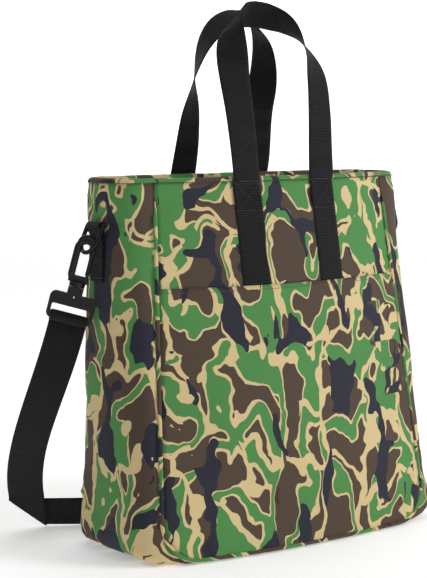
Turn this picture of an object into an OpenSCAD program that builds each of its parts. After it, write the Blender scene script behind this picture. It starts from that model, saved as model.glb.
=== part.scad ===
// Insulated cooler tote: padded fabric body, zip lid, webbing handles and a clip-on shoulder strap.
// Millimetres. Origin on the floor under the middle of the base, front face towards -Y, up is +Z.

/* [Body] */
// height of the body from the floor to the rim
body_h = 380; // [340:5:420]
// half width between the side seams at the floor
base_half = 171; // [155:1:185]
// half width between the side seams at the rim
rim_half = 144.5; // [135:0.5:155]
// half depth between the seams at the floor
base_half_d = 71; // [64:1:78]
// seam of the front panel at the rim, Y
rim_front = -20; // [-30:1:-12]
// seam of the back panel at the rim, Y
rim_back = 71; // [66:1:76]
// bulge of the side gussets at the floor
side_bulge_low = 23; // [18:1:28]
// bulge of the side gussets at the rim
side_bulge_top = 37; // [30:1:42]
// radius of the rounded lower corners of the panels
corner_r = 38; // [30:1:46]

/* [Front face] */
// forward bow of the front panel at the floor
bow_low = 15; // [8:1:20]
// forward bow of the front panel at the pocket hem
bow_mid = 29; // [20:1:34]
// forward bow of the front panel at the rim
bow_rim = 23; // [16:1:28]
// height of the pocket hem
pocket_h = 272; // [240:1:290]

/* [Layers] */
// thickness of the woven shell
shell_t = 1.2; // [0.8:0.1:1.4]
// thickness of the closed-cell foam
foam_t = 6; // [4:0.5:6.5]
// thickness of the waterproof liner
liner_t = 0.8; // [0.5:0.1:1]
// radius of the piping
pipe_r = 2.2; // [1.6:0.1:2.3]

/* [Lid] */
// depth of the zip lid below the rim
lid_drop = 34; // [30:1:40]
// half length of the opening flaps
flap_half = 110; // [90:1:112]

/* [Webbing and hardware] */
// half distance between the two legs of a handle
handle_x = 48; // [42:1:56]
// width of the handle webbing
handle_w = 32; // [25:1:34]
// height of the handle arch above the rim
handle_rise = 165; // [150:1:185]
// width of the shoulder strap
strap_w = 38; // [30:1:40]
// width of the ring tabs
tab_w = 25; // [20:1:27]
// radius of the ring wire
ring_r = 2.2; // [1.6:0.1:2.4]

/* [Hidden] */
web_t = 1.6;
gap = 0.3;
seam_z = 4;
base_drop = 4;
foam_in = shell_t + 0.7;
liner_in = foam_in + foam_t + 1.5;
skin_top = body_h - 1.5;
facing_in = liner_in + liner_t + 0.4;
lid_z = body_h - lid_drop;
lid_t = 5;
flap_w = 38;
pipe_top = body_h - 27;
pipe_cut = 2.6;
power = 0.8;
ring_y = 20;
ring_z = [334, 339];
ring_arc = 15.2;
ring_side = 14;
ring_tilt = 14;
ring_pull = 25;
zip_y = 18;
camo = "#A8A06C";
camo_dark = "#7E8458";
black = "#1E1E1E";
plastic = "#262626";
metal = "#2A2A2C";
silver = "#C9CCD0";
foam_col = "#E8E4DA";

// ---- shape of the body -------------------------------------------------------------------

function mix(a, b, s) = a + (b - a) * s;
function half_w(z) = mix(base_half, rim_half, z / body_h);
function seam_f(z) = mix(-base_half_d, rim_front, z / body_h);
function seam_b(z) = mix(base_half_d, rim_back, z / body_h);
function bulge(z) = mix(side_bulge_low, side_bulge_top, z / body_h);
function bow_f(z) = z < pocket_h ? mix(bow_low, bow_mid, z / pocket_h)
                                 : mix(bow_mid, bow_rim, (z - pocket_h) / (body_h - pocket_h));
function bow_b(z) = mix(8, 2, z / body_h);
function front_y(x, z) = seam_f(z) - bow_f(z) * (1 - pow(x / half_w(z), 2));
function back_y(x, z) = seam_b(z) + bow_b(z) * (1 - pow(x / half_w(z), 2));
function face_y(side, x, z) = side < 0 ? front_y(x, z) : back_y(x, z);

// inset of the shell from the seam, to leave room for the piping
function pipe_room(z) = z > pipe_top + 3 ? 0.2 : (z < pipe_top ? pipe_cut : mix(pipe_cut, 0.2, (z - pipe_top) / 3));

// half width of a panel at height z, with its rounded lower corners
function row_half(z, e) =
    let (r = corner_r - e, k = z - seam_z - e)
    k < r ? half_w(seam_z + corner_r) - corner_r + sqrt(max(0, r * r - (r - k) * (r - k))) : half_w(z) - e;

function levels(e, top) = concat(
    [for (a = [0:18:72]) seam_z + e + (corner_r - e) * (1 - cos(a))],
    [for (k = [0:9]) mix(seam_z + corner_r, top, k / 9)]);

// closed solid between two grids of points with the same rows and columns
function grid_faces(rows, cols) =
    let (n = rows * cols)
    concat(
        [for (i = [0:rows - 2], j = [0:cols - 2]) [i * cols + j, i * cols + j + 1, (i + 1) * cols + j + 1]],
        [for (i = [0:rows - 2], j = [0:cols - 2]) [i * cols + j, (i + 1) * cols + j + 1, (i + 1) * cols + j]],
        [for (i = [0:rows - 2], j = [0:cols - 2]) [n + i * cols + j, n + (i + 1) * cols + j + 1, n + i * cols + j + 1]],
        [for (i = [0:rows - 2], j = [0:cols - 2]) [n + i * cols + j, n + (i + 1) * cols + j, n + (i + 1) * cols + j + 1]],
        [for (i = [0:rows - 2]) [i * cols, (i + 1) * cols, n + (i + 1) * cols]],
        [for (i = [0:rows - 2]) [i * cols, n + (i + 1) * cols, n + i * cols]],
        [for (i = [0:rows - 2]) let (c = i * cols + cols - 1) [c, n + c, n + c + cols]],
        [for (i = [0:rows - 2]) let (c = i * cols + cols - 1) [c, n + c + cols, c + cols]],
        [for (j = [0:cols - 2]) [j, n + j, n + j + 1]],
        [for (j = [0:cols - 2]) [j, n + j + 1, j + 1]],
        [for (j = [0:cols - 2]) let (c = (rows - 1) * cols + j) [c, n + c + 1, n + c]],
        [for (j = [0:cols - 2]) let (c = (rows - 1) * cols + j) [c, c + 1, n + c + 1]]);

function flip(faces) = [for (f = faces) [f[2], f[1], f[0]]];

module sheet_solid(a, b, rows, cols, turn) {
    faces = grid_faces(rows, cols);
    polyhedron(points = concat(a, b), faces = turn ? flip(faces) : faces, convexity = 6);
}

// one layer of the front (side -1) or back (side 1) panel, d0 to d1 below its face
module panel_layer(side, d0, d1, e, top, cols) {
    zs = levels(e, top);
    us = [for (j = [0:cols]) 2 * j / cols - 1];
    outer = [for (z = zs, u = us) let (x = u * row_half(z, pipe_room(z))) [x, face_y(side, x, z) - side * d0, z]];
    inner = [for (z = zs, u = us) let (x = u * row_half(z, pipe_room(z))) [x, face_y(side, x, z) - side * d1, z]];
    sheet_solid(outer, inner, len(zs), len(us), side < 0);
}

// bulge beyond the rounded corner of the seam, a squarish quarter seen from the front
function corner_bulge(a, b) =
    pow(pow(cos(a) / (corner_r + b), 4) + pow(sin(a) / (corner_r + base_drop), 4), -0.25) - corner_r;

// seam path: [x, z, nx, nz, bulge] down one side and round its corner, or along the base
function side_path(s) = concat(
    [for (k = [0:9]) let (z = mix(skin_top, seam_z + corner_r, k / 9)) [s * half_w(z), z, s, 0, bulge(z)]],
    [for (a = [18:18:90]) let (zc = seam_z + corner_r, b = corner_bulge(a, bulge(zc)))
        [s * (half_w(zc) - corner_r + corner_r * cos(a)), zc - corner_r * sin(a), s * cos(a), -sin(a), b]]);
function base_path(n) = let (x0 = half_w(seam_z + corner_r) - corner_r - 0.3)
    [for (k = [0:n]) [mix(-x0, x0, k / n), seam_z, 0, -1, base_drop]];

function reach(a, c, d) = norm([c * pow(cos(a), power), d * (1 - pow(sin(a), power))]);
function start_angle(c, d, e) = max([for (a = [50:0.5:89.5]) if (reach(a, c, d) >= e) a]);

function gusset_point(p, d, e, w) =
    let (yf = front_y(p[0], p[1]), yb = back_y(p[0], p[1]), ym = (yf + yb) / 2, hd = (yb - yf) / 2,
         am = start_angle(p[4], hd, e), a = w * am, sn = w < 0 ? -1 : 1,
         out = (p[4] - d) * min(1, (1 + 0.6 * abs(p[3])) * pow(max(0.0001, cos(a)), power)))
    [p[0] + p[2] * out, ym + (hd - d) * sn * pow(abs(sin(a)), power), p[1] + p[3] * out];

module gusset_layer(path, d0, d1, cols, turn) {
    ws = [for (j = [0:cols]) sin(90 * (2 * j / cols - 1))];
    outer = [for (p = path, w = ws) gusset_point(p, d0, pipe_room(p[1]), w)];
    inner = [for (p = path, w = ws) gusset_point(p, d1, pipe_room(p[1]), w)];
    sheet_solid(outer, inner, len(path), len(ws), turn);
}

// ---- closed rings round the body -----------------------------------------------------------

function half_ring(d, z, s) = [for (k = [0:13]) let (a = mix(-86, 86, k / 13),
        ym = (seam_f(z) + seam_b(z)) / 2, hd = (seam_b(z) - seam_f(z)) / 2,
        g = row_half(z, 0), sn = a < 0 ? -1 : 1)
    [s * (g + (side_out(z) - d) * pow(cos(a), power)), s * sn * (hd - d) * pow(abs(sin(a)), power) + ym]];
function side_out(z) = let (k = z - seam_z)
    k < corner_r ? mix(bulge(z), base_drop, pow(1 - k / corner_r, 0.9)) : bulge(z);
function ring_line(d, z) = concat(
    half_ring(d, z, 1),
    [for (k = [1:10]) let (x = row_half(z, 0) * (1 - 2 * k / 11)) [x, back_y(x, z) - d]],
    half_ring(d, z, -1),
    [for (k = [1:10]) let (x = row_half(z, 0) * (2 * k / 11 - 1)) [x, front_y(x, z) + d]]);

// solid swept round the body with the cross-section corners [depth, height]
module body_ring(section) {
    m = len(section);
    n = len(ring_line(0, body_h));
    pts = [for (q = section) for (p = ring_line(q[0], q[1])) [p[0], p[1], q[1]]];
    faces = [for (i = [0:m - 1], j = [0:n - 1]) let (a = i * n, b = ((i + 1) % m) * n, k = (j + 1) % n)
             [a + j, b + j, b + k]];
    more = [for (i = [0:m - 1], j = [0:n - 1]) let (a = i * n, b = ((i + 1) % m) * n, k = (j + 1) % n)
            [a + j, b + k, a + k]];
    polyhedron(points = pts, faces = concat(faces, more), convexity = 6);
}

// tub made of rings from the bottom up, with a closed floor
module body_tub(d0, d1, zs) {
    n = len(ring_line(0, body_h));
    m = len(zs);
    outer = [for (z = zs) for (p = ring_line(d0, z)) [p[0], p[1], z]];
    inner = [for (z = zs) for (p = ring_line(d1, z)) [p[0], p[1], max(z, zs[0] + d1 - d0)]];
    wall = [for (i = [0:m - 2], j = [0:n - 1]) let (a = i * n, k = (j + 1) % n) [a + j, a + n + k, a + k]];
    wall2 = [for (i = [0:m - 2], j = [0:n - 1]) let (a = i * n, k = (j + 1) % n) [a + j, a + n + j, a + n + k]];
    o = m * n;
    in1 = [for (f = wall) [f[0] + o, f[2] + o, f[1] + o]];
    in2 = [for (f = wall2) [f[0] + o, f[2] + o, f[1] + o]];
    t = (m - 1) * n;
    rim1 = [for (j = [0:n - 1]) let (k = (j + 1) % n) [t + j, o + t + j, o + t + k]];
    rim2 = [for (j = [0:n - 1]) let (k = (j + 1) % n) [t + j, o + t + k, t + k]];
    floor_out = [[for (j = [0:n - 1]) j]];
    floor_in = [[for (j = [n - 1:-1:0]) o + j]];
    polyhedron(points = concat(outer, inner),
               faces = concat(wall, wall2, in1, in2, rim1, rim2, floor_out, floor_in), convexity = 6);
}

// ---- ribbons ---------------------------------------------------------------------------------

function unit(v) = v / norm(v);

// flat ribbon through sections [left edge, right edge, normal]
module ribbon(sections, t) {
    n = len(sections);
    pts = [for (s = sections) each [s[0] + s[2] * t / 2, s[1] + s[2] * t / 2, s[1] - s[2] * t / 2, s[0] - s[2] * t / 2]];
    sides = [for (i = [0:n - 2], k = [0:3]) let (a = 4 * i + k, b = 4 * i + (k + 1) % 4) [a, b, b + 4]];
    sides2 = [for (i = [0:n - 2], k = [0:3]) let (a = 4 * i + k, b = 4 * i + (k + 1) % 4) [a, b + 4, a + 4]];
    e = 4 * (n - 1);
    faces = concat(sides, sides2, [[3, 2, 1], [3, 1, 0]], [[e, e + 1, e + 2], [e, e + 2, e + 3]]);
    turn = cross(sections[0][1] - sections[0][0], sections[1][0] - sections[0][0]) * sections[0][2] > 0;
    polyhedron(points = pts, faces = turn ? flip(faces) : faces, convexity = 8);
}

// smooth value at position s (0..n-1) through a list of keys
function spline(keys, s) =
    let (n = len(keys), i = min(floor(s), n - 2), f = s - i,
         a = keys[max(0, i - 1)], b = keys[i], c = keys[i + 1], d = keys[min(n - 1, i + 2)])
    0.5 * (2 * b + (c - a) * f + (2 * a - 5 * b + 4 * c - d) * f * f + (3 * b - a - 3 * c + d) * f * f * f);

// ---- shell -------------------------------------------------------------------------------------

module front_panel() {
    color(camo) panel_layer(-1, 0, shell_t, pipe_cut, skin_top, 16);
}

// how far the pocket stands off the front panel
function pocket_lift(x, z) = gap + 2.3 * (1 - pow(abs(x) / (half_w(z)), 6)) * min(1, max(0, (z - seam_z - 3) / 60));

module front_pocket() {
    cols = 16;
    zs = levels(pipe_cut + 0.5, pocket_h);
    us = [for (j = [0:cols]) 2 * j / cols - 1];
    grid = [for (z = zs, u = us) [u * row_half(z, pipe_cut + 0.5), z]];
    outer = [for (g = grid) [g[0], front_y(g[0], g[1]) - pocket_lift(g[0], g[1]) - shell_t, g[1]]];
    inner = [for (g = grid) [g[0], front_y(g[0], g[1]) - pocket_lift(g[0], g[1]), g[1]]];
    color(camo) sheet_solid(outer, inner, len(zs), len(us), true);
}

module back_panel() {
    color(camo_dark) panel_layer(1, 0, shell_t, pipe_cut, skin_top, 14);
}

module left_gusset() {
    color(camo_dark) gusset_layer(side_path(-1), 0, shell_t, 12, true);
}

module right_gusset() {
    color(camo_dark) gusset_layer(side_path(1), 0, shell_t, 12, false);
}

module base_panel() {
    color(camo_dark) gusset_layer(base_path(10), 0, shell_t, 12, true);
}

module piping(side) {
    path = concat([for (k = [0:12]) let (z = mix(pipe_top, seam_z + corner_r, k / 12)) [-half_w(z), z]],
                  [for (a = [18:18:90]) let (zc = seam_z + corner_r)
                      [-half_w(zc) + corner_r - corner_r * cos(a), zc - corner_r * sin(a)]]);
    half = concat(path, [for (k = [1:6]) let (x0 = half_w(seam_z + corner_r) - corner_r) [mix(-x0, 0, k / 6), seam_z]]);
    full = concat(half, [for (k = [len(half) - 2:-1:0]) [-half[k][0], half[k][1]]]);
    pts = [for (p = full) [p[0], face_y(side, p[0], p[1]) + side * 1, p[1]]];
    n = len(pts);
    m = 8;
    body = [for (i = [0:n - 1]) let (t = unit(pts[min(n - 1, i + 1)] - pts[max(0, i - 1)]),
                u = unit(cross(t, [0, 1, 0])), v = cross(t, u))
            for (k = [0:m - 1]) pts[i] + pipe_r * (u * cos(360 * k / m) + v * sin(360 * k / m))];
    f1 = [for (i = [0:n - 2], k = [0:m - 1]) let (a = i * m + k, b = i * m + (k + 1) % m) [a, b + m, b]];
    f2 = [for (i = [0:n - 2], k = [0:m - 1]) let (a = i * m + k, b = i * m + (k + 1) % m) [a, a + m, b + m]];
    cap1 = [[for (k = [0:m - 1]) k]];
    cap2 = [[for (k = [m - 1:-1:0]) (n - 1) * m + k]];
    color(camo) polyhedron(points = body, faces = concat(f1, f2, cap1, cap2), convexity = 6);
}

module front_piping() {
    piping(-1);
}

module back_piping() {
    piping(1);
}

module rim_facing() {
    color(camo) body_ring([[0, body_h], [facing_in, body_h], [facing_in, lid_z + 0.4],
                           [liner_in, lid_z + 0.4], [liner_in, skin_top + 0.3], [0, skin_top + 0.3]]);
}

// ---- padding and liner ---------------------------------------------------------------------------

module foam_front() {
    color(foam_col) panel_layer(-1, foam_in, foam_in + foam_t, pipe_cut, skin_top, 16);
}

module foam_back() {
    color(foam_col) panel_layer(1, foam_in, foam_in + foam_t, pipe_cut, skin_top, 14);
}

module foam_left() {
    color(foam_col) gusset_layer(side_path(-1), foam_in, foam_in + foam_t, 12, true);
}

module foam_right() {
    color(foam_col) gusset_layer(side_path(1), foam_in, foam_in + foam_t, 12, false);
}

module foam_base() {
    color(foam_col) gusset_layer(base_path(10), foam_in, foam_in + foam_t, 12, true);
}

module liner() {
    color(silver) body_tub(liner_in, liner_in + liner_t,
        [seam_z + 12, seam_z + 18, seam_z + 26, seam_z + corner_r, 90, 160, 230, lid_z - lid_t - 1]);
}

// ---- zip lid ---------------------------------------------------------------------------------------

module base_board() {
    color("#3A3A3A") translate([0, 0, 8.6])
        linear_extrude(3) offset_rect(2 * (half_w(42) - corner_r) - 6, 2 * base_half_d - 24, 8);
}

module offset_rect(w, d, r) {
    square([w - 2 * r, d], center = true);
    square([w, d - 2 * r], center = true);
    for (x = [-1, 1], y = [-1, 1]) translate([x * (w / 2 - r), y * (d / 2 - r)]) circle(r, $fn = 48);
}

module lid_frame() {
    inset = facing_in + 0.5;
    color(camo_dark) translate([0, 0, lid_z - lid_t]) linear_extrude(lid_t) difference() {
        polygon(ring_line(inset, lid_z));
        translate([-flap_half - 0.5, zip_y - flap_w]) square([2 * flap_half + 1, 2 * flap_w]);
    }
}

// flap: thin hinge edge, padded field
module flap(s) {
    translate([-flap_half, zip_y, lid_z]) mirror([0, s > 0 ? 1 : 0, 0]) {
        translate([0, 0.4 - flap_w, -1]) cube([2 * flap_half, flap_w - 5.4, 1]);
        translate([0, 6 - flap_w, -lid_t]) cube([2 * flap_half, flap_w - 11, lid_t - 0.5]);
    }
}

module front_lid_flap() {
    color(camo) flap(-1);
}

module rear_lid_flap() {
    color(camo) flap(1);
}

module zip_tape(s, x0, x1) {
    translate([x0, zip_y, lid_z + 0.2]) mirror([0, s > 0 ? 1 : 0, 0])
        translate([0, -12, 0]) cube([x1 - x0, 9.6, 0.7]);
}

module zip_coil(s, x0, x1) {
    translate([x0, zip_y + s * 2.05, lid_z + 2]) rotate([0, 90, 0]) cylinder(h = x1 - x0, r = 1.05, $fn = 24);
}

module front_zip_tape() {
    color(black) zip_tape(-1, -flap_half, flap_half);
}

module rear_zip_tape() {
    color(black) zip_tape(1, -flap_half, flap_half);
}

module front_zip_coil() {
    color(black) zip_coil(-1, -flap_half, flap_half);
}

module rear_zip_coil() {
    color(black) zip_coil(1, -flap_half, flap_half);
}

// fixed lengths of tape and coil on the lid frame at both ends
module zip_ends() {
    color(black) for (s = [-1, 1]) {
        x0 = s < 0 ? -flap_half - 34 : flap_half + 0.8;
        x1 = s < 0 ? -flap_half - 0.8 : flap_half + 34;
        for (k = [-1, 1]) {
            zip_tape(k, x0, x1);
            zip_coil(k, x0, x1);
        }
        translate([s * (flap_half + 32.5) - 1.5, zip_y - 12, lid_z + 0.2]) cube([3, 24, 3]);
    }
}

slider_x = flap_half + 14;
module zip_slider() {
    color(metal) translate([slider_x, zip_y, lid_z]) {
        translate([-6, -5, 3.4]) cube([12, 10, 1.3]);
        translate([-6, -0.65, 0.3]) cube([5, 1.3, 3.4]);
        translate([-4.2, -1.4, 4.5]) cube([1.4, 2.8, 3.6]);
        translate([2.8, -1.4, 4.5]) cube([1.4, 2.8, 3.6]);
        translate([-4.2, -1.4, 7.3]) cube([8.4, 2.8, 1.2]);
    }
}

// puller: a bar under the slider's bridge, two arms and a moulded grip
module zip_pull() {
    color(plastic) translate([slider_x, zip_y, lid_z + 6.1]) {
        rotate([90, 0, 0]) cylinder(h = 6.4, r = 0.85, center = true, $fn = 32);
        for (k = [-1, 1]) translate([0, k * 2.6 - 0.7, -0.85]) cube([9, 1.4, 1.7]);
        translate([8, -3.5, -1]) cube([25, 7, 2]);
    }
}

// ---- handles ----------------------------------------------------------------------------------------

function leg_section(side, x, z) = let (w = handle_w / 2, y = [for (q = [x - w, x + w])
        face_y(side, q, z) + side * (gap + web_t / 2 + 0.15)])
    [[x - w, y[0], z], [x + w, y[1], z], unit([(y[0] - y[1]) / handle_w * -side * -1, side, 0])];

module handle_legs(side) {
    for (x = [-handle_x, handle_x]) ribbon([for (k = [0:12]) leg_section(side, x, mix(232, body_h - 3, k / 12))], web_t);
}

module front_handle_legs() {
    color(black) handle_legs(-1);
}

module rear_handle_legs() {
    color(black) handle_legs(1);
}

// centre and face direction of the handle webbing, front handle, left half: rim to arch
function arch_y(side) = face_y(side, handle_x - handle_w / 2, body_h) + side * (gap + web_t / 2);
// how much the right half of an arch leans in at the point c
function squeeze(c) = let (k = min(1, 2 * c[2])) c[0] > 0 ? k * k * (3 - 2 * k) * min(1, c[0] / 30) : 0;

module handle_loop(side) {
    y0 = arch_y(side);
    r = handle_rise;
    lean = side < 0 ? 27 : -45;
    sway = side < 0 ? [-9, -15] : [2, 0];
    forward = side < 0 ? [0, 0.02, 0.06, 0.15, 0.32, 0.58, 0.9, 1] : [0, 0.2, 0.42, 0.62, 0.78, 0.9, 0.97, 1];
    across = [-handle_x, -handle_x - 1, -handle_x - 3, -handle_x - 4, -handle_x + 2, -handle_x + 15, -16, 0];
    height = [0, 0.18, 0.4, 0.62, 0.81, 0.935, 0.99, 1];
    pinch = side < 0 ? 0 : 15;
    keys = [for (k = [0:7]) [across[k], forward[k], height[k]]];
    turn = side < 0 ? [[0, -1, 0], [-0.05, -1, 0], [-0.12, -1, 0], [-0.3, -0.95, 0.05], [-0.8, -0.55, 0.2],
                       [-0.85, 0.15, 0.5], [-0.45, 0.62, 0.62], [0, 0.8, 0.6]]
                    : [[0, -1, 0], [-0.1, -1, 0], [-0.35, -0.9, 0.02], [-0.8, -0.52, 0.08], [-0.95, -0.1, 0.25],
                       [-0.8, 0.3, 0.55], [-0.45, 0.5, 0.75], [0, 0.5, 0.85]];
    half = [for (k = [0:28]) let (s = k / 4, c = spline(keys, s), v = unit(spline(turn, s)))
            [[c[0], c[1], c[2]], v]];
    all = concat(half, [for (k = [len(half) - 2:-1:0]) [[-half[k][0][0], half[k][0][1], half[k][0][2]],
                                                         [-half[k][1][0], half[k][1][1], half[k][1][2]]]]);
    line = [for (q = all) let (k = q[0][2])
            [q[0][0] + sway[0] * k + sway[1] * pow(k, 4) - pinch * squeeze(q[0]), y0 + lean * q[0][1], body_h + 0.6 + r * k]];
    n = len(line);
    cuts = [for (i = [0:n - 1]) let (t = unit(line[min(n - 1, i + 1)] - line[max(0, i - 1)]),
                v0 = [all[i][1][0], -side * all[i][1][1], all[i][1][2]], v = unit(v0 - t * (v0 * t)),
                g = i == 0 || i == n - 1 ? [0, side, 0] : v, e = unit(cross(t, g)))
            [line[i] - e * handle_w / 2, line[i] + e * handle_w / 2, g]];
    ribbon(cuts, web_t);
}

module front_handle_loop() {
    color(black) handle_loop(-1);
}

module rear_handle_loop() {
    color(black) handle_loop(1);
}

// ---- rings and their tabs --------------------------------------------------------------------------

function tab_z(s) = ring_z[s < 0 ? 0 : 1];
function bar_x(s) = let (z = tab_z(s) - 25) half_w(z) + bulge(z) + 3.1 + web_t;
loop_in = ring_r + 0.35;

// webbing folded over the straight bar of the ring, both ends sewn to the gusset
module ring_tab(s) {
    translate([0, ring_y, 0]) mirror([s < 0 ? 1 : 0, 0, 0]) translate([bar_x(s), 0, tab_z(s)]) rotate([90, 0, 0])
        difference() {
            union() {
                cylinder(h = tab_w, r = loop_in + web_t, center = true, $fn = 48);
                linear_extrude(tab_w, center = true)
                    polygon([[-3.9, -0.9], [3.9, -0.9], [3.6, -3.4], [-0.7, -9.5], [0.3, -56], [-3.05, -56]]);
            }
            cylinder(h = tab_w + 2, r = loop_in, center = true, $fn = 48);
        }
}

module left_ring_tab() {
    color(black) ring_tab(-1);
}

module right_ring_tab() {
    color(black) ring_tab(1);
}

module ring(s, tilt) {
    translate([s * bar_x(s), ring_y, tab_z(s)]) rotate([0, -s * tilt, 0]) {
        rotate([90, 0, 0]) cylinder(h = 2 * ring_arc, r = ring_r, center = true, $fn = 48);
        translate([0, 0, -ring_side]) rotate([0, 90, 0]) rotate([0, 0, -90])
            rotate_extrude(angle = 180, $fn = 72) translate([ring_arc, 0]) circle(ring_r, $fn = 32);
        for (k = [-1, 1]) translate([0, k * ring_arc, -ring_side]) {
            cylinder(h = ring_side, r = ring_r, $fn = 32);
            translate([0, 0, ring_side]) sphere(ring_r, $fn = 32);
        }
    }
}

module left_ring() {
    color(metal) ring(-1, ring_pull);
}

module right_ring() {
    color(metal) ring(1, ring_tilt);
}

// ---- snap hooks: local x across, z along, mouth of the hook at the origin -----------------------------

hook_r = 7.4;
hook_wire = 2.7;
hook_len = 35;
hook_rise = 5;

module hook_body() {
    translate([0, 0, hook_rise]) rotate([90, 0, 0])
        rotate_extrude(angle = 180, $fn = 72) translate([hook_r, 0]) circle(hook_wire, $fn = 32);
    translate([hook_r, 0, -hook_len + 8]) cylinder(h = hook_len + hook_rise - 8, r = hook_wire, $fn = 32);
    translate([-hook_r, 0, -6]) cylinder(h = 6 + hook_rise, r = hook_wire, $fn = 32);
    translate([0, 0, -hook_len + 8]) difference() {
        translate([-hook_r - 2.6, -hook_wire, -7]) cube([2 * hook_r + 5.2, 2 * hook_wire, 7]);
        translate([-hook_r - 3, -1.5, -5]) cube([6.4, 3, 8]);
    }
    translate([0, 0, -hook_len - 3]) cylinder(h = 5, r = 8, $fn = 64);
    translate([0, 0, -hook_len - 10]) cylinder(h = 8, r = 3, $fn = 48);
    translate([0, 0, -hook_len - 10.5]) cylinder(h = 2, r = 4.6, $fn = 48);
}

module hook_gate() {
    translate([-hook_r, 0, -hook_len + 5]) {
        rotate([90, 0, 0]) cylinder(h = 2.4, r = 1.9, center = true, $fn = 32);
        cylinder(h = hook_len - 11.5, r = 1.15, $fn = 32);
        translate([0, 0, 4.6]) cylinder(h = hook_len - 16.1, r = 2.2, $fn = 32);
    }
}

// frame with a slot for the strap and a socket for the swivel
module hook_base() {
    w = strap_w + 9;
    translate([0, 0, -hook_len - 3.4]) difference() {
        union() {
            translate([-7.5, -6.5, -9.4]) cube([15, 13, 9]);
            translate([0, 0, -22]) rotate([90, 0, 0]) linear_extrude(6, center = true) difference() {
                offset_rect(w, 28, 6);
                translate([0, -3.4]) offset_rect(strap_w + 1.6, 9.4, 2);
            }
        }
        translate([0, 0, -12]) cylinder(h = 20, r = 3.05, $fn = 48);
        translate([0, 0, -9.6]) cylinder(h = 5, r = 4.9, $fn = 48);
    }
}

// left hook hangs on the left ring, its frame faces the viewer
ring_len = ring_arc + ring_side;
ring_low = [-(bar_x(-1) + ring_len * sin(ring_pull)), ring_y, tab_z(-1) - ring_len * cos(ring_pull)];
view_turn = -34.4;
hook_lean = 15;
hook_lift = 3;
function hook_axis() = [cos(view_turn) * sin(hook_lean), sin(view_turn) * sin(hook_lean), cos(hook_lean)];
module place_left() {
    translate(ring_low + hook_lift * hook_axis())
        rotate([0, 0, view_turn]) rotate([0, hook_lean, 0]) rotate([0, 0, 180]) children();
}

module left_hook() {
    color(plastic) place_left() hook_body();
}

module left_gate() {
    color(plastic) place_left() hook_gate();
}

module left_hook_base() {
    color(plastic) place_left() hook_base();
}

// right hook lies behind the bag at the free end of the strap
end_x = 96;
end_y = 118;
end_z = 25;
end_bar = end_x + 63 - hook_len - 3.4 - 33.05;
module place_right() {
    translate([end_x + 63, end_y, end_z]) rotate([0, 90, 0]) children();
}

module right_hook() {
    color(plastic) place_right() hook_body();
}

module right_gate() {
    color(plastic) place_right() hook_gate();
}

module right_hook_base() {
    color(plastic) place_right() hook_base();
}

// ---- shoulder strap ------------------------------------------------------------------------------------

cam_side = [cos(view_turn), sin(view_turn), 0];
cam_face = [sin(view_turn), -cos(view_turn), 0];
bar_drop = hook_len + 3.4 + 33.05;
function left_pt(v) = ring_low + (hook_lift - v) * hook_axis();

fold_low = [-182.8, 143.7, 0.8];
up_dir = unit(0.55 * cam_face + [0, 0, 1]);
fold_high = fold_low - strap_w * cam_side + strap_w * up_dir;
module shoulder_strap() {
    t = 1.4;
    w = strap_w / 2;
    top = left_pt(bar_drop + 6.2);
    low = fold_low + (strap_w + 6) * up_dir - w * cam_side;
    bar = cam_side * cos(hook_lean) - [0, 0, sin(hook_lean)];
    drop = -cam_side * sin(hook_lean) - [0, 0, cos(hook_lean)];
    pull = norm(top - low) / 2;
    fall = [for (k = [0:12]) let (s = k / 12, q = 1 - s, e = unit(mix(bar, cam_side, min(1, 1.5 * s))),
                c = q * q * q * top + 3 * q * q * s * (top + drop * pull * 0.7)
                    + 3 * q * s * s * (low + up_dir * pull * 0.6 - cam_side * 4) + s * s * s * low,
                t = mix(drop, unit(low - top), min(1, 2 * s)))
            [c - e * w, c + e * w, unit(cross(e, t))]];
    crease = unit(fold_high - fold_low);
    face = unit(cross(cam_side, up_dir));
    turn = [for (a = [0:30:180]) let (r = 1.05, o = unit(cross(face, crease)),
                p = -face * r * (1 - cos(a)) + o * r * sin(a), n = -face * cos(a) - o * sin(a))
            [fold_high + p, fold_low + p + [0, 0, 0.3], n]];
    run_to = [[-146.5, 127, 0.8], [-110, 116, 0.8], [-60, 112, 0.8], [0, 112, 1.5], [60, end_y - 2, 4], [end_bar - 6.2, end_y, end_z - w]];
    run_up = [[-150, 112, 33.4], [-110, 108, 38], [-60, 110, 38.7], [0, 112, 39.4], [60, end_y - 2, 42], [end_bar - 6.2, end_y, end_z + w]];
    run = [for (k = [0:4:20]) let (s = k / 4) [spline(run_up, s), spline(run_to, s), [0, 1, 0]]];
    run_n = [for (q = run) [q[0], q[1], unit(cross([1, -0.05, 0], q[0] - q[1])) * 1]];
    color(black) ribbon(concat(fall, turn, run_n), t);
}

// webbing looped round the bar of a hook frame
module strap_end() {
    rotate([0, 90, 0]) linear_extrude(strap_w, center = true) difference() {
        circle(5.85, $fn = 40);
        circle(4.45, $fn = 40);
    }
}

module strap_loops() {
    color(black) {
        place_left() translate([0, 0, -bar_drop]) strap_end();
        place_right() translate([0, 0, -bar_drop]) strap_end();
    }
}

module strap_adjuster() {
    color(plastic) translate([50, 115.2, 22.6]) rotate([0, 0, 3]) difference() {
        cube([14, 8, strap_w + 5], center = true);
        cube([16, 4.4, strap_w + 1.6], center = true);
    }
}

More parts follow.
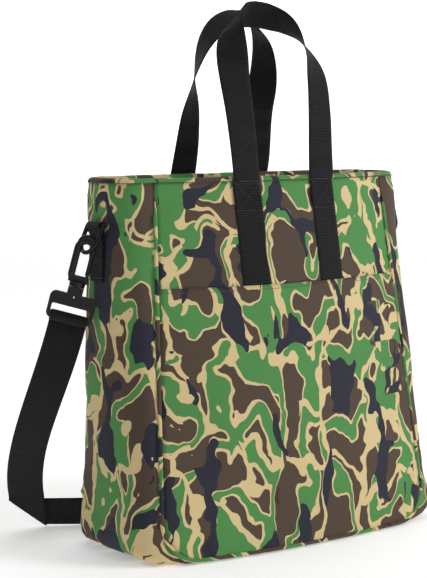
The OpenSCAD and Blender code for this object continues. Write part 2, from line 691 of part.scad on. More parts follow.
front_panel();
front_pocket();
back_panel();
left_gusset();
right_gusset();
base_panel();
front_piping();
back_piping();
rim_facing();
foam_front();
foam_back();
foam_left();
foam_right();
foam_base();
liner();
base_board();
lid_frame();
front_lid_flap();
rear_lid_flap();
front_zip_tape();
rear_zip_tape();
front_zip_coil();
rear_zip_coil();
zip_ends();
zip_slider();
zip_pull();
front_handle_legs();
rear_handle_legs();
front_handle_loop();
rear_handle_loop();
left_ring_tab();
right_ring_tab();
left_ring();
right_ring();
left_hook();
left_gate();
left_hook_base();
right_hook();
right_gate();
right_hook_base();
shoulder_strap();
strap_loops();
strap_adjuster();
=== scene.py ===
import math
import bpy
import numpy as np
from mathutils import Matrix, Vector, noise
from mathutils.bvhtree import BVHTree


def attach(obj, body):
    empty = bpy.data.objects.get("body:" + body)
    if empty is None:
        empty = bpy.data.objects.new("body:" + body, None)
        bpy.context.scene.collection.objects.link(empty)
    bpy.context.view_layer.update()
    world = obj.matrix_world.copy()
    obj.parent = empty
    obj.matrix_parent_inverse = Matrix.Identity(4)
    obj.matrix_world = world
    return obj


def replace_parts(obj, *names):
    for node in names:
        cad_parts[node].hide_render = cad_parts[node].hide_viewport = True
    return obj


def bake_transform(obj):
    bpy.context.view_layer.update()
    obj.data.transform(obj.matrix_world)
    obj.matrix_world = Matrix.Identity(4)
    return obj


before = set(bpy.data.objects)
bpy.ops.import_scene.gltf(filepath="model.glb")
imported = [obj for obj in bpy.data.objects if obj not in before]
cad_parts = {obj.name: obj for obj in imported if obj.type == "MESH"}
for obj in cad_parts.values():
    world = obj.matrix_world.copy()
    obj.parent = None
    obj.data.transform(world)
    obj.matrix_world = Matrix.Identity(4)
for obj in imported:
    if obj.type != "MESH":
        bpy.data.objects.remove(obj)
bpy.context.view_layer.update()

# ---- shape of the body, as in part.scad, in metres --------------------------------------------
H, BASE_HALF, RIM_HALF, BASE_D = 0.380, 0.171, 0.1445, 0.071
RIM_F, RIM_B, BULGE0, BULGE1, CORNER = -0.020, 0.071, 0.023, 0.037, 0.038
BOW = (0.015, 0.029, 0.023)
POCKET_H, SEAM_Z, PIPE_TOP, POWER = 0.272, 0.004, 0.353, 0.8
LID_Z, ZIP_Y, FLAP_HALF, FLAP_W = 0.346, 0.018, 0.110, 0.038


def mix(a, b, s):
    return a + (b - a) * s


def hw(z):
    return mix(BASE_HALF, RIM_HALF, z / H)


def bow_f(z):
    low = mix(BOW[0], BOW[1], z / POCKET_H)
    high = mix(BOW[1], BOW[2], (z - POCKET_H) / (H - POCKET_H))
    return np.where(z < POCKET_H, low, high)


def front_y(x, z):
    return mix(-BASE_D, RIM_F, z / H) - bow_f(z) * (1 - (x / hw(z)) ** 2)


def back_y(x, z):
    return mix(BASE_D, RIM_B, z / H) + mix(0.008, 0.002, z / H) * (1 - (x / hw(z)) ** 2)


def bulge(z):
    return mix(BULGE0, BULGE1, z / H)


def row_half(z, e=0.0):
    r, k = CORNER - e, z - SEAM_Z - e
    rounded = hw(SEAM_Z + CORNER) - CORNER + np.sqrt(np.maximum(0, r * r - (r - k) ** 2))
    return np.where(k < r, rounded, hw(z) - e)


# ---- mesh helpers -----------------------------------------------------------------------------
def make_object(name, verts, faces, uvs=None):
    me = bpy.data.meshes.new(name)
    me.from_pydata([tuple(v) for v in verts], [], faces)
    if uvs is not None:
        layer = me.uv_layers.new(name="UVMap")
        loops = np.zeros(len(me.loops), dtype=np.int32)
        me.loops.foreach_get("vertex_index", loops)
        layer.data.foreach_set("uv", np.asarray(uvs, float)[loops].ravel())
    me.polygons.foreach_set("use_smooth", [True] * len(me.polygons))
    me.update()
    ob = bpy.data.objects.new(name, me)
    bpy.context.scene.collection.objects.link(ob)
    return ob


def grid_faces(rows, cols, wrap=False, flip=False):
    out = []
    for i in range(rows - 1):
        for j in range(cols if wrap else cols - 1):
            k = (j + 1) % cols
            f = (i * cols + j, i * cols + k, (i + 1) * cols + k, (i + 1) * cols + j)
            out.append(f[::-1] if flip else f)
    return out


def apply_modifiers(ob):
    bpy.context.view_layer.update()
    ev = ob.evaluated_get(bpy.context.evaluated_depsgraph_get())
    me = bpy.data.meshes.new_from_object(ev)
    ob.modifiers.clear()
    old = ob.data
    ob.data = me
    bpy.data.meshes.remove(old)


def solidify(ob, t):
    m = ob.modifiers.new("thick", "SOLIDIFY")
    m.thickness, m.offset = t, -1
    apply_modifiers(ob)


def cloth_pass(ob, pinned, pressure, cap, slack=0.02, frames=20, floor=None):
    """Inflates and slackens a panel between its pinned seams; the displacement is capped."""
    base = np.array([v.co for v in ob.data.vertices])
    group = ob.vertex_groups.new(name="pin")
    group.add([int(i) for i in pinned], 1.0, "REPLACE")
    mod = ob.modifiers.new("Cloth", "CLOTH")
    s = mod.settings
    s.vertex_group_mass = "pin"
    s.quality = 6
    s.mass = 0.25
    s.tension_stiffness = s.compression_stiffness = 12
    s.shear_stiffness = 6
    s.bending_stiffness = 0.6
    s.use_pressure = True
    s.uniform_pressure_force = pressure
    s.shrink_min = -slack
    s.effector_weights.gravity = 0
    mod.collision_settings.use_collision = False
    mod.collision_settings.use_self_collision = False
    scene = bpy.context.scene
    for f in range(1, frames + 1):
        scene.frame_set(f)
    ev = ob.evaluated_get(bpy.context.evaluated_depsgraph_get())
    new = np.array([v.co for v in ev.data.vertices])
    ob.modifiers.clear()
    scene.frame_set(1)
    d = new - base
    d[~np.isfinite(d)] = 0
    n = np.linalg.norm(d, axis=1, keepdims=True) + 1e-12
    d *= np.minimum(1, cap / n) if cap else 1
    if floor is not None:
        d[:, 2] = np.maximum(d[:, 2], floor - base[:, 2])
    for v, p in zip(ob.data.vertices, base + d):
        v.co = p
    ob.data.update()
    ob.vertex_groups.clear()
    print("cloth", ob.name, round(float(n.max()) * 1000, 1), "mm before the cap")


def spline(keys, s):
    keys = np.asarray(keys, float)
    n = len(keys)
    out = []
    for v in np.atleast_1d(s):
        i = int(min(math.floor(v), n - 2))
        f = v - i
        a, b, c, d = keys[max(0, i - 1)], keys[i], keys[i + 1], keys[min(n - 1, i + 2)]
        out.append(0.5 * (2 * b + (c - a) * f + (2 * a - 5 * b + 4 * c - d) * f * f
                          + (3 * b - a - 3 * c + d) * f ** 3))
    return np.array(out)


def unit(v):
    v = np.asarray(v, float)
    return v / (np.linalg.norm(v, axis=-1, keepdims=True) + 1e-15)


def resample(arrays, step):
    """Even spacing along the first array, the same for the others."""
    p = arrays[0]
    s = np.concatenate([[0], np.cumsum(np.linalg.norm(np.diff(p, axis=0), axis=1))])
    n = max(2, int(s[-1] / step) + 1)
    t = np.linspace(0, s[-1], n)
    return t, [np.stack([np.interp(t, s, a[:, k]) for k in range(3)], 1) for a in arrays]


def webbing(name, left, right, normal, thick, body, rib=0.00022, pitch=0.003, step=0.0006, across=12):
    """Woven webbing as a closed ribbed band between its two edges."""
    t, (_, l, r, n) = resample([(left + right) / 2, left, right, normal], step)
    n = unit(n)
    rows = len(t)
    u = np.linspace(0, 1, across + 1)
    shape = np.sqrt(np.maximum(0, 1 - np.abs(2 * u - 1) ** 8))
    verts, uv = [], []
    for k in range(rows):
        wave = rib * (0.5 + 0.5 * math.cos(2 * math.pi * t[k] / pitch))
        line = l[k] + (r[k] - l[k]) * u[:, None]
        h = (thick / 2 - rib + wave) * np.maximum(shape, 0.25)
        up = line + n[k] * h[:, None]
        down = (line - n[k] * h[:, None])[::-1]
        w = np.linalg.norm(r[k] - l[k])
        verts.append(np.concatenate([up, down]))
        uv.append(np.concatenate([np.stack([u * w, np.full(across + 1, t[k])], 1),
                                  np.stack([u[::-1] * w + 0.1, np.full(across + 1, t[k])], 1)]))
    cols = 2 * (across + 1)
    faces = grid_faces(rows, cols, wrap=True)
    faces += [tuple(range(cols))[::-1], tuple((rows - 1) * cols + j for j in range(cols))]
    ob = make_object(name, np.concatenate(verts), faces, np.concatenate(uv))
    ob.data.materials.append(WEBBING)
    if body:
        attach(ob, body)
    return ob


def stitches(name, path, normal, body, mat, pitch=0.0036, length=0.0025, r=0.00042):
    """A row of separate thread stitches along a path."""
    _, (p, n) = resample([np.asarray(path, float), np.asarray(normal, float)], pitch)
    n = unit(n)
    d = unit(np.gradient(p, axis=0))
    verts, faces = [], []
    for k in range(len(p)):
        side = unit(np.cross(d[k], n[k]))
        base = len(verts)
        for a, s in ((-0.5, 0.35), (-0.28, 1), (0.28, 1), (0.5, 0.35)):
            sink = -0.5 * r if abs(a) == 0.5 else 0
            for q in range(6):
                ang = math.pi * q / 3
                verts.append(p[k] + d[k] * a * length + side * math.cos(ang) * r * s
                             + n[k] * (math.sin(ang) * r * s + sink))
        for i in range(3):
            for q in range(6):
                w = (q + 1) % 6
                faces.append((base + i * 6 + q, base + i * 6 + w, base + i * 6 + 6 + w, base + i * 6 + 6 + q))
        faces.append(tuple(base + q for q in range(6))[::-1])
        faces.append(tuple(base + 18 + q for q in range(6)))
    ob = make_object(name, verts, faces)
    ob.data.materials.append(mat)
    if body:
        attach(ob, body)
    return ob


# ---- materials --------------------------------------------------------------------------------
class Nodes:
    def __init__(self, name):
        self.mat = bpy.data.materials.new(name)
        self.mat.use_nodes = True
        self.tree = self.mat.node_tree
        self.shader = self.tree.nodes["Principled BSDF"]

    def add(self, kind, links=None, **values):
        n = self.tree.nodes.new("ShaderNode" + kind)
        for k, v in values.items():
            if hasattr(n, k) and k not in n.inputs:
                setattr(n, k, v)
            else:
                n.inputs[k].default_value = v
        for k, v in (links or {}).items():
            self.tree.links.new(v, n.inputs[k])
        return n

    def math(self, op, a, b=0.0, clamp=False):
        n = self.tree.nodes.new("ShaderNodeMath")
        n.operation, n.use_clamp = op, clamp
        for i, v in enumerate((a, b)):
            if hasattr(v, "is_linked"):
                self.tree.links.new(v, n.inputs[i])
            else:
                n.inputs[i].default_value = v
        return n.outputs[0]

    def vmath(self, op, a, b):
        n = self.tree.nodes.new("ShaderNodeVectorMath")
        n.operation = op
        for i, v in enumerate((a, b)):
            if hasattr(v, "is_linked"):
                self.tree.links.new(v, n.inputs[i])
            else:
                n.inputs[i].default_value = v
        return n.outputs[0]

    def blend(self, fac, a, b, kind="MIX"):
        n = self.tree.nodes.new("ShaderNodeMix")
        n.data_type, n.blend_type = "RGBA", kind
        for i, v in ((0, fac), (6, a), (7, b)):
            if hasattr(v, "is_linked"):
                self.tree.links.new(v, n.inputs[i])
            elif i == 0:
                n.inputs[0].default_value = v
            else:
                n.inputs[i].default_value = (*v, 1.0)
        return n.outputs[2]

    def ramp(self, fac, stops, constant=False):
        n = self.tree.nodes.new("ShaderNodeValToRGB")
        n.color_ramp.interpolation = "CONSTANT" if constant else "LINEAR"
        e = n.color_ramp.elements
        while len(e) < len(stops):
            e.new(0.5)
        for el, (pos, col) in zip(e, stops):
            el.position = pos
            el.color = (*col, 1.0)
        self.tree.links.new(fac, n.inputs[0])
        return n.outputs[0]

    def put(self, **links):
        for k, v in links.items():
            k = k.replace("_", " ")
            if hasattr(v, "is_linked"):
                self.tree.links.new(v, self.shader.inputs[k])
            else:
                self.shader.inputs[k].default_value = v
        return self.mat

    def bump(self, height, strength, distance, normal=None):
        links = {"Height": height}
        if normal is not None:
            links["Normal"] = normal
        return self.add("Bump", links, Strength=strength, Distance=distance).outputs[0]


def weave_height(n, vec, pitch):
    k = 2 * math.pi / (20 * pitch)
    a = n.add("TexWave", {"Vector": vec}, wave_type="BANDS", bands_direction="X", Scale=k).outputs["Fac"]
    b = n.add("TexWave", {"Vector": vec}, wave_type="BANDS", bands_direction="Y", Scale=k).outputs["Fac"]
    return n.math("MAXIMUM", a, b)


TAN, GREEN = (0.72, 0.56, 0.29), (0.085, 0.27, 0.075)
BROWN, NAVY = (0.088, 0.060, 0.042), (0.026, 0.026, 0.042)


def camo(name, shift, scale=1.0, turn=0.0):
    """Generic four-colour woodland print on a woven polyester."""
    n = Nodes(name)
    uv = n.add("UVMap").outputs[0]
    place = n.add("Mapping", {"Vector": uv}, Location=(*shift, 0), Rotation=(0, 0, turn),
                  Scale=(scale, 0.72 * scale, 1)).outputs[0]
    w1 = n.add("TexNoise", {"Vector": place}, Scale=20.0, Detail=1.0, Roughness=0.5)
    d1 = n.vmath("MULTIPLY", n.vmath("SUBTRACT", w1.outputs["Color"], (0.5, 0.5, 0.5)), (0.060, 0.085, 0))
    p1 = n.vmath("ADD", place, d1)
    w2 = n.add("TexNoise", {"Vector": place}, Scale=75.0, Detail=0.8, Roughness=0.4)
    d2 = n.vmath("MULTIPLY", n.vmath("SUBTRACT", w2.outputs["Color"], (0.5, 0.5, 0.5)), (0.016, 0.012, 0))
    p2 = n.vmath("ADD", p1, d2)
    field = n.add("TexNoise", {"Vector": p2}, noise_dimensions="2D", Scale=21.0, Detail=0.6,
                  Roughness=0.35).outputs["Fac"]
    col = n.ramp(field, [(0.0, BROWN), (0.395, TAN), (0.432, GREEN), (0.578, TAN), (0.612, BROWN)],
                 constant=True)
    edge = n.add("TexVoronoi", {"Vector": p2}, feature="DISTANCE_TO_EDGE", voronoi_dimensions="2D",
                 Scale=17.0)
    river = n.math("LESS_THAN", edge.outputs["Distance"], 0.055)
    gate = n.add("TexNoise", {"Vector": place}, noise_dimensions="2D", Scale=14.0, Detail=0.0).outputs["Fac"]
    river = n.math("MULTIPLY", river, n.math("GREATER_THAN", gate, 0.40))
    col = n.blend(river, col, TAN)
    q = n.vmath("ADD", n.vmath("MULTIPLY", p2, (1.0, 0.8, 1)), (3.1, 1.7, 0))
    ink = n.add("TexNoise", {"Vector": q}, noise_dimensions="2D", Scale=37.0, Detail=0.3,
                Roughness=0.3).outputs["Fac"]
    dark = n.math("GREATER_THAN", ink, 0.652)
    col = n.blend(dark, col, NAVY)
    speck = n.add("TexNoise", {"Vector": uv}, Scale=1500.0, Detail=2.0).outputs["Fac"]
    fade = n.add("TexNoise", {"Vector": uv}, Scale=9.0, Detail=3.0).outputs["Fac"]
    tone = n.math("ADD", n.math("MULTIPLY", speck, 0.22), n.math("MULTIPLY", fade, 0.16))
    shade = n.ramp(tone, [(0.08, (0.80, 0.80, 0.80)), (0.30, (1.06, 1.06, 1.06))])
    col = n.blend(1.0, col, shade, "MULTIPLY")
    fine = n.bump(weave_height(n, uv, 0.00075), 0.35, 0.00025)
    soft = n.bump(fade, 0.25, 0.004, fine)
    rough = n.math("ADD", n.math("MULTIPLY", speck, 0.12), 0.72)
    return n.put(Base_Color=col, Roughness=rough, Normal=soft, Sheen_Weight=0.04, Sheen_Roughness=0.6,
                 Specular_IOR_Level=0.2)


def black_web(name, base=0.0074):
    n = Nodes(name)
    uv = n.add("UVMap").outputs[0]
    spec = n.add("TexNoise", {"Vector": uv}, Scale=2200.0, Detail=2.0).outputs["Fac"]
    big = n.add("TexNoise", {"Vector": uv}, Scale=60.0, Detail=2.0).outputs["Fac"]
    twill = n.add("TexWave", {"Vector": uv}, wave_type="BANDS", bands_direction="DIAGONAL", Scale=260.0,
                  Distortion=0.6).outputs["Fac"]
    ribs = n.add("TexWave", {"Vector": uv}, wave_type="BANDS", bands_direction="Y",
                 Scale=math.pi / (10 * 0.0017), Distortion=0.35).outputs["Fac"]
    tone = n.math("ADD", n.math("MULTIPLY", spec, 0.35), n.math("MULTIPLY", big, 0.2))
    # Adding the rib wave to the colour darkens the grooves and lightens the ridges: painted shade between the
    # ribs and painted highlight on them, on top of random tone from the two noises.
    tone = n.math("ADD", tone, n.math("MULTIPLY", ribs, 0.55))
    groove_shade, ridge_highlight = base * 0.2, base * 3.4
    col = n.ramp(tone, [(0.25, (groove_shade, groove_shade, base * 0.21)), (0.85, (ridge_highlight, ridge_highlight, base * 3.6))])
    h = n.math("ADD", n.math("MULTIPLY", twill, 0.5), n.math("MULTIPLY", spec, 0.4))
    h = n.math("ADD", h, n.math("MULTIPLY", ribs, 1.8))
    return n.put(Base_Color=col, Roughness=n.math("ADD", n.math("MULTIPLY", big, 0.15), 0.60),
                 Normal=n.bump(h, 0.85, 0.0006), Sheen_Weight=0.03, Sheen_Roughness=0.5,
                 Specular_IOR_Level=0.18)


def moulded(name, col, rough, grain=900.0, metal=0.0):
    n = Nodes(name)
    at = n.add("TexCoord").outputs["Object"]
    g = n.add("TexNoise", {"Vector": at}, Scale=grain, Detail=3.0).outputs["Fac"]
    wear = n.add("TexNoise", {"Vector": at}, Scale=90.0, Detail=5.0, Roughness=0.7).outputs["Fac"]
    c = n.ramp(wear, [(0.35, tuple(0.85 * v for v in col)), (0.72, tuple(min(1, 1.5 * v) for v in col))])
    r = n.math("ADD", n.math("MULTIPLY", wear, 0.18), rough - 0.09)
    return n.put(Base_Color=c, Roughness=r, Metallic=metal, Normal=n.bump(g, 0.12, 0.0002),
                 Specular_IOR_Level=0.32)


def thread(name, col):
    n = Nodes(name)
    at = n.add("TexCoord").outputs["Object"]
    g = n.add("TexNoise", {"Vector": at}, Scale=1800.0, Detail=2.0).outputs["Fac"]
    c = n.ramp(g, [(0.3, tuple(0.7 * v for v in col)), (0.7, tuple(min(1, 1.25 * v) for v in col))])
    return n.put(Base_Color=c, Roughness=0.6, Normal=n.bump(g, 0.4, 0.0002), Sheen_Weight=0.2)


def film(name):
    n = Nodes(name)
    at = n.add("TexCoord").outputs["Object"]
    a = n.add("TexVoronoi", {"Vector": at}, feature="DISTANCE_TO_EDGE", Scale=45.0).outputs["Distance"]
    b = n.add("TexNoise", {"Vector": at}, Scale=160.0, Detail=4.0).outputs["Fac"]
    h = n.math("ADD", n.math("MULTIPLY", a, 1.0), n.math("MULTIPLY", b, 0.3))
    c = n.ramp(b, [(0.3, (0.55, 0.56, 0.58)), (0.7, (0.78, 0.79, 0.81))])
    return n.put(Base_Color=c, Metallic=0.65, Roughness=n.math("ADD", n.math("MULTIPLY", b, 0.2), 0.25),
                 Normal=n.bump(h, 0.6, 0.002))


def foam(name):
    n = Nodes(name)
    at = n.add("TexCoord").outputs["Object"]
    a = n.add("TexVoronoi", {"Vector": at}, Scale=900.0).outputs["Distance"]
    # The colour is darker at the cell centres, which are the hollows of the bump: painted shade in the pores.
    c = n.ramp(a, [(0.1, (0.70, 0.68, 0.62)), (0.6, (0.86, 0.84, 0.78))])
    return n.put(Base_Color=c, Roughness=0.85, Normal=n.bump(a, 0.5, 0.0006))


CAMO_FRONT = camo("camo_front", (0.31, 0.12))
CAMO_POCKET = camo("camo_pocket", (1.43, 0.77))
CAMO_SIDE = camo("camo_side", (2.71, 1.35))
CAMO_SIDE_R = camo("camo_side_r", (5.20, 0.44))
CAMO_BACK = camo("camo_back", (4.05, 3.12))
CAMO_TRIM = camo("camo_trim", (7.33, 2.51))
WEBBING = black_web("black_webbing")
PLASTIC = moulded("hook_plastic", (0.0045, 0.0045, 0.0048), 0.34)
METAL = moulded("ring_metal", (0.007, 0.007, 0.0075), 0.30, metal=0.35)
ZIP = moulded("zip_nylon", (0.012, 0.012, 0.013), 0.5)
THREAD = thread("brown_thread", (0.070, 0.046, 0.032))
BLACK_THREAD = thread("black_thread", (0.014, 0.014, 0.014))
LINER = film("liner_film")
FOAM = foam("foam_cells")
BOARD = moulded("stiff_board", (0.05, 0.05, 0.05), 0.7)


# ---- fabric shell -----------------------------------------------------------------------------
def seam_inset(z):
    return np.interp(z, [PIPE_TOP, PIPE_TOP + 0.004], [0.0012, 0.0002])


def levels(top, corner=9, straight=46, e=0.0012):
    zc = SEAM_Z + CORNER
    a = np.radians(np.linspace(0, 90, corner))[:-1]
    return np.concatenate([SEAM_Z + e + (CORNER - e) * (1 - np.cos(a)), np.linspace(zc, top, straight)])


def face_y(side, x, z):
    return front_y(x, z) if side < 0 else back_y(x, z)


def panel(name, side, mat, top, depth=0.0, cols=54, straight=46, lift=None, e=None):
    """Front or back panel between its seams: the object, its grid of vertices and the pinned edge."""
    zs, us = levels(top, straight=straight), np.linspace(-1, 1, cols)
    Z, U = np.meshgrid(zs, us, indexing="ij")
    X = U * row_half(Z, seam_inset(Z) if e is None else e)
    Y = face_y(side, X, Z) - side * depth
    if lift is not None:
        Y = Y + side * lift(X, Z)
    verts = np.stack([X, Y, Z], -1).reshape(-1, 3)
    uv = np.stack([-side * X, Z], -1).reshape(-1, 2)
    ob = make_object(name, verts, grid_faces(len(zs), cols, flip=side > 0), uv)
    ob.data.materials.append(mat)
    idx = np.arange(len(zs) * cols).reshape(len(zs), cols)
    edge = set(idx[0]) | set(idx[-1]) | set(idx[:, 0]) | set(idx[:, -1]) | set(idx[-4:].ravel())
    return ob, idx, edge


def add_folds(ob, direction, amp, size, seed, keep=None, lift=0.0):
    """Shallow random undulation of a cloth surface, fading to nothing at the kept vertices."""
    co = np.array([v.co for v in ob.data.vertices])
    nrm = np.array([v.normal for v in ob.data.vertices])
    for i, v in enumerate(ob.data.vertices):
        w = 1.0 if keep is None else keep[i]
        p = co[i]
        q = Vector((p[0] / size[0] + seed, p[1] / size[1], p[2] / size[2] - seed))
        h = noise.noise(q) + 0.5 * noise.noise(q * 2.3) + lift
        v.co = Vector(p + nrm[i] * direction * amp * w * h)
    ob.data.update()


def fade(shape, k=5):
    """Weights that fall to nothing at the edge of a grid."""
    r, c = shape
    a = np.minimum(np.arange(r), np.arange(r)[::-1])[:, None]
    b = np.minimum(np.arange(c), np.arange(c)[::-1])[None, :]
    return np.clip(np.minimum(a, b) / k, 0, 1).ravel()


def finish_sheet(ob, thick=0.0011):
    solidify(ob, thick)
    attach(ob, "bag")
    return ob


PANEL_TOP = 0.3784
front, idx, edge = panel("front_panel_cloth", -1, CAMO_FRONT, PANEL_TOP)
add_folds(front, 1, 0.0007, (0.05, 0.05, 0.07), 3.1, fade(idx.shape))
cloth_pass(front, edge, 0.9, 0.0012)
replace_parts(finish_sheet(front), "front_panel")


def pocket_lift(x, z):
    return 0.0014 + 0.0012 * (1 - np.abs(x / hw(z)) ** 6) * np.clip((z - SEAM_Z - 0.003) / 0.06, 0, 1)


pocket, idx, _ = panel("pocket_cloth", -1, CAMO_POCKET, POCKET_H, lift=pocket_lift, e=0.0014)
edge = set(idx[0]) | set(idx[:, 0]) | set(idx[:, -1]) | set(idx[-1])
add_folds(pocket, 1, 0.0007, (0.06, 0.05, 0.08), 8.4, fade(idx.shape))
cloth_pass(pocket, edge, 0.8, 0.0010)
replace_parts(finish_sheet(pocket), "front_pocket")

back, idx, edge = panel("back_panel_cloth", 1, CAMO_BACK, PANEL_TOP)
add_folds(back, 1, 0.0009, (0.06, 0.05, 0.09), 5.2, fade(idx.shape))
cloth_pass(back, edge, 1.2, 0.0018)
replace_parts(finish_sheet(back), "back_panel")


# ---- side gussets and base --------------------------------------------------------------------
BASE_DROP = 0.004


def side_path(s, top, straight=46, corner=12):
    zc, out = SEAM_Z + CORNER, []
    for z in np.linspace(top, zc, straight):
        out.append((s * hw(z), z, s, 0.0, bulge(z)))
    for a in np.radians(np.linspace(0, 90, corner)[1:]):
        wide, low = math.cos(a) / (CORNER + bulge(zc)), math.sin(a) / (CORNER + BASE_DROP)
        b = (wide ** 4 + low ** 4) ** -0.25 - CORNER
        x = s * (hw(zc) - CORNER + CORNER * math.cos(a))
        out.append((x, zc - CORNER * math.sin(a), s * math.cos(a), -math.sin(a), b))
    return out


def base_path(n=30):
    x0 = hw(SEAM_Z + CORNER) - CORNER
    return [(mix(-x0, x0, k / n), SEAM_Z, 0.0, -1.0, BASE_DROP) for k in range(n + 1)]


def gusset_grid(path, depth, cols, e=None):
    ws = np.sin(np.radians(90 * np.linspace(-1, 1, cols)))
    verts, uv, run = [], [], 0.0
    last = None
    for x, z, nx, nz, b in path:
        yf, yb = float(front_y(x, z)), float(back_y(x, z))
        ym, hd = (yf + yb) / 2, (yb - yf) / 2
        inset = float(seam_inset(z)) if e is None else e
        best = 89.6
        for a in np.arange(60, 89.6, 0.2):
            c = math.cos(math.radians(a)) ** POWER
            s = 1 - math.sin(math.radians(a)) ** POWER
            if math.hypot(b * c, hd * s) >= inset:
                best = a
        if last is not None:
            run += math.hypot(x - last[0], z - last[1])
        last = (x, z)
        row = []
        for w in ws:
            a = math.radians(w * best)
            fall = min(1.0, (1 + 0.6 * abs(nz)) * max(1e-4, math.cos(a)) ** POWER)
            out = (b - depth) * fall
            y = ym + (hd - depth) * math.copysign(abs(math.sin(a)) ** POWER, w)
            row.append((x + nx * out, y, z + nz * out))
        row = np.array(row)
        arc = np.concatenate([[0], np.cumsum(np.linalg.norm(np.diff(row, axis=0), axis=1))])
        arc -= arc[-1] / 2
        verts.append(row)
        uv.append(np.stack([arc, np.full(cols, -run)], 1))
    return np.concatenate(verts), np.concatenate(uv)


def gusset(name, path, mat, depth, flip, cols=44, e=None):
    verts, uv = gusset_grid(path, depth, cols, e)
    if flip:
        uv[:, 0] *= -1
    ob = make_object(name, verts, grid_faces(len(path), cols, flip=flip), uv)
    ob.data.materials.append(mat)
    return ob, np.arange(len(path) * cols).reshape(len(path), cols)


for side, name, mat, node in ((-1, "left_gusset_cloth", CAMO_SIDE, "left_gusset"),
                              (1, "right_gusset_cloth", CAMO_SIDE_R, "right_gusset")):
    ob, idx = gusset(name, side_path(side, PANEL_TOP), mat, 0.0, side > 0)
    edge = set(idx[0]) | set(idx[1]) | set(idx[-1]) | set(idx[:, 0]) | set(idx[:, -1])
    keep = fade(idx.shape, 6)
    add_folds(ob, 1, 0.0013, (0.045, 0.05, 0.075), 2.2 + side, keep)
    low = np.array([v.co for v in ob.data.vertices])[:, 2]
    crease = keep * np.exp(-((low - 0.045) / 0.035) ** 2)
    add_folds(ob, 1, 0.0034, (0.034, 0.024, 0.013), 6.1 + side, crease, 0.25)
    pull = keep * np.exp(-((low - 0.16) / 0.09) ** 2)
    add_folds(ob, 1, 0.0018, (0.05, 0.030, 0.10), 9.3 + side, pull, 0.2)
    cloth_pass(ob, edge, 0.8, 0.0012, floor=0.0004)
    finish_sheet(ob)
    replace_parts(ob, node)

base, _ = gusset("base_cloth", base_path(), CAMO_BACK, 0.0, False)
finish_sheet(base, 0.0010)
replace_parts(base, "base_panel")


# ---- foam, liner ------------------------------------------------------------------------------
FOAM_TOP, FOAM_T = 0.378, 0.006
PAD_IN, PAD_SEAM = 0.0021, 0.0028


def foam_pad(ob, node):
    solidify(ob, FOAM_T - 0.0004)
    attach(ob, "bag")
    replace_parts(ob, node)


for side, name, node in ((-1, "foam_front_pad", "foam_front"), (1, "foam_back_pad", "foam_back")):
    ob = panel(name, side, FOAM, FOAM_TOP, PAD_IN, cols=30, straight=20, e=0.0027)[0]
    foam_pad(ob, node)
for side, name, node in ((-1, "left_foam_pad", "foam_left"), (1, "right_foam_pad", "foam_right")):
    ob = gusset(name, side_path(side, FOAM_TOP, 20, 8), FOAM, PAD_IN, side > 0, 26, PAD_SEAM)[0]
    foam_pad(ob, node)
foam_pad(gusset("foam_base_pad", base_path(16), FOAM, PAD_IN, False, 26, PAD_SEAM)[0], "foam_base")


def ring_line(d, z, n=30, m=34):
    ym = (mix(-BASE_D, RIM_F, z / H) + mix(BASE_D, RIM_B, z / H)) / 2
    hd = mix(BASE_D, RIM_B, z / H) - ym
    k = z - SEAM_Z
    out = bulge(z) if k >= CORNER else mix(bulge(z), BASE_DROP, (1 - k / CORNER) ** 0.9)
    zc = SEAM_Z + CORNER
    g = hw(z) if k >= CORNER else hw(zc) - CORNER + math.sqrt(max(0, CORNER ** 2 - (CORNER - k) ** 2))
    pts = []
    for a in np.radians(np.linspace(-86, 86, n)):
        y = (hd - d) * math.copysign(abs(math.sin(a)) ** POWER, a) + ym
        pts.append((g + (out - d) * math.cos(a) ** POWER, y))
    pts += [(x, float(back_y(x, z)) - d) for x in np.linspace(g, -g, m + 2)[1:-1]]
    for a in np.radians(np.linspace(86, -86, n)):
        y = (hd - d) * math.copysign(abs(math.sin(a)) ** POWER, a) + ym
        pts.append((-g - (out - d) * math.cos(a) ** POWER, y))
    pts += [(x, float(front_y(x, z)) + d) for x in np.linspace(-g, g, m + 2)[1:-1]]
    return np.array(pts)


def ring_middle():
    """Distance along the rim line from its start to the middle of the front."""
    p = ring_line(0, H)
    arc = np.concatenate([[0], np.cumsum(np.linalg.norm(np.diff(p, axis=0), axis=1))])
    front_run = np.where(p[:, 1] < RIM_F / 2)[0]
    return float(np.interp(0.0, p[front_run[-30:], 0], arc[front_run[-30:]]))


def ring_loft(name, section, mat, shift=0.0):
    """Surface swept round the body through the (depth, height) points of the section."""
    rows, uv, run = [], [], 0.0
    base = ring_line(0, H)
    arc = np.concatenate([[0], np.cumsum(np.linalg.norm(np.diff(base, axis=0), axis=1))])
    for k, (d, z) in enumerate(section):
        p = ring_line(d, z)
        if k:
            run += math.hypot(d - section[k - 1][0], z - section[k - 1][1])
        rows.append(np.column_stack([p, np.full(len(p), z)]))
        uv.append(np.stack([arc + shift, np.full(len(p), section[0][1] + run)], 1))
    n = len(base)
    ob = make_object(name, np.concatenate(rows), grid_faces(len(section), n, wrap=True), np.concatenate(uv))
    ob.data.materials.append(mat)
    return ob


FRONT_MID = ring_middle()
LINER_IN = 0.0094
FACING_IN = 0.0106
hem = ring_loft("rim_hem", [(-0.0004, 0.3766), (-0.0006, 0.3780), (0.0003, 0.3795), (0.0022, 0.3807),
                            (0.0050, 0.3811), (0.0080, 0.3807), (0.0098, 0.3795), (0.0105, 0.3778),
                            (FACING_IN, 0.374), (FACING_IN, 0.365), (FACING_IN, 0.355), (FACING_IN, 0.3466)],
                CAMO_FRONT, shift=-FRONT_MID)
add_folds(hem, 1, 0.0004, (0.02, 0.02, 0.02), 1.9)
solidify(hem, 0.0008)
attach(hem, "bag")
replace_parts(hem, "rim_facing")

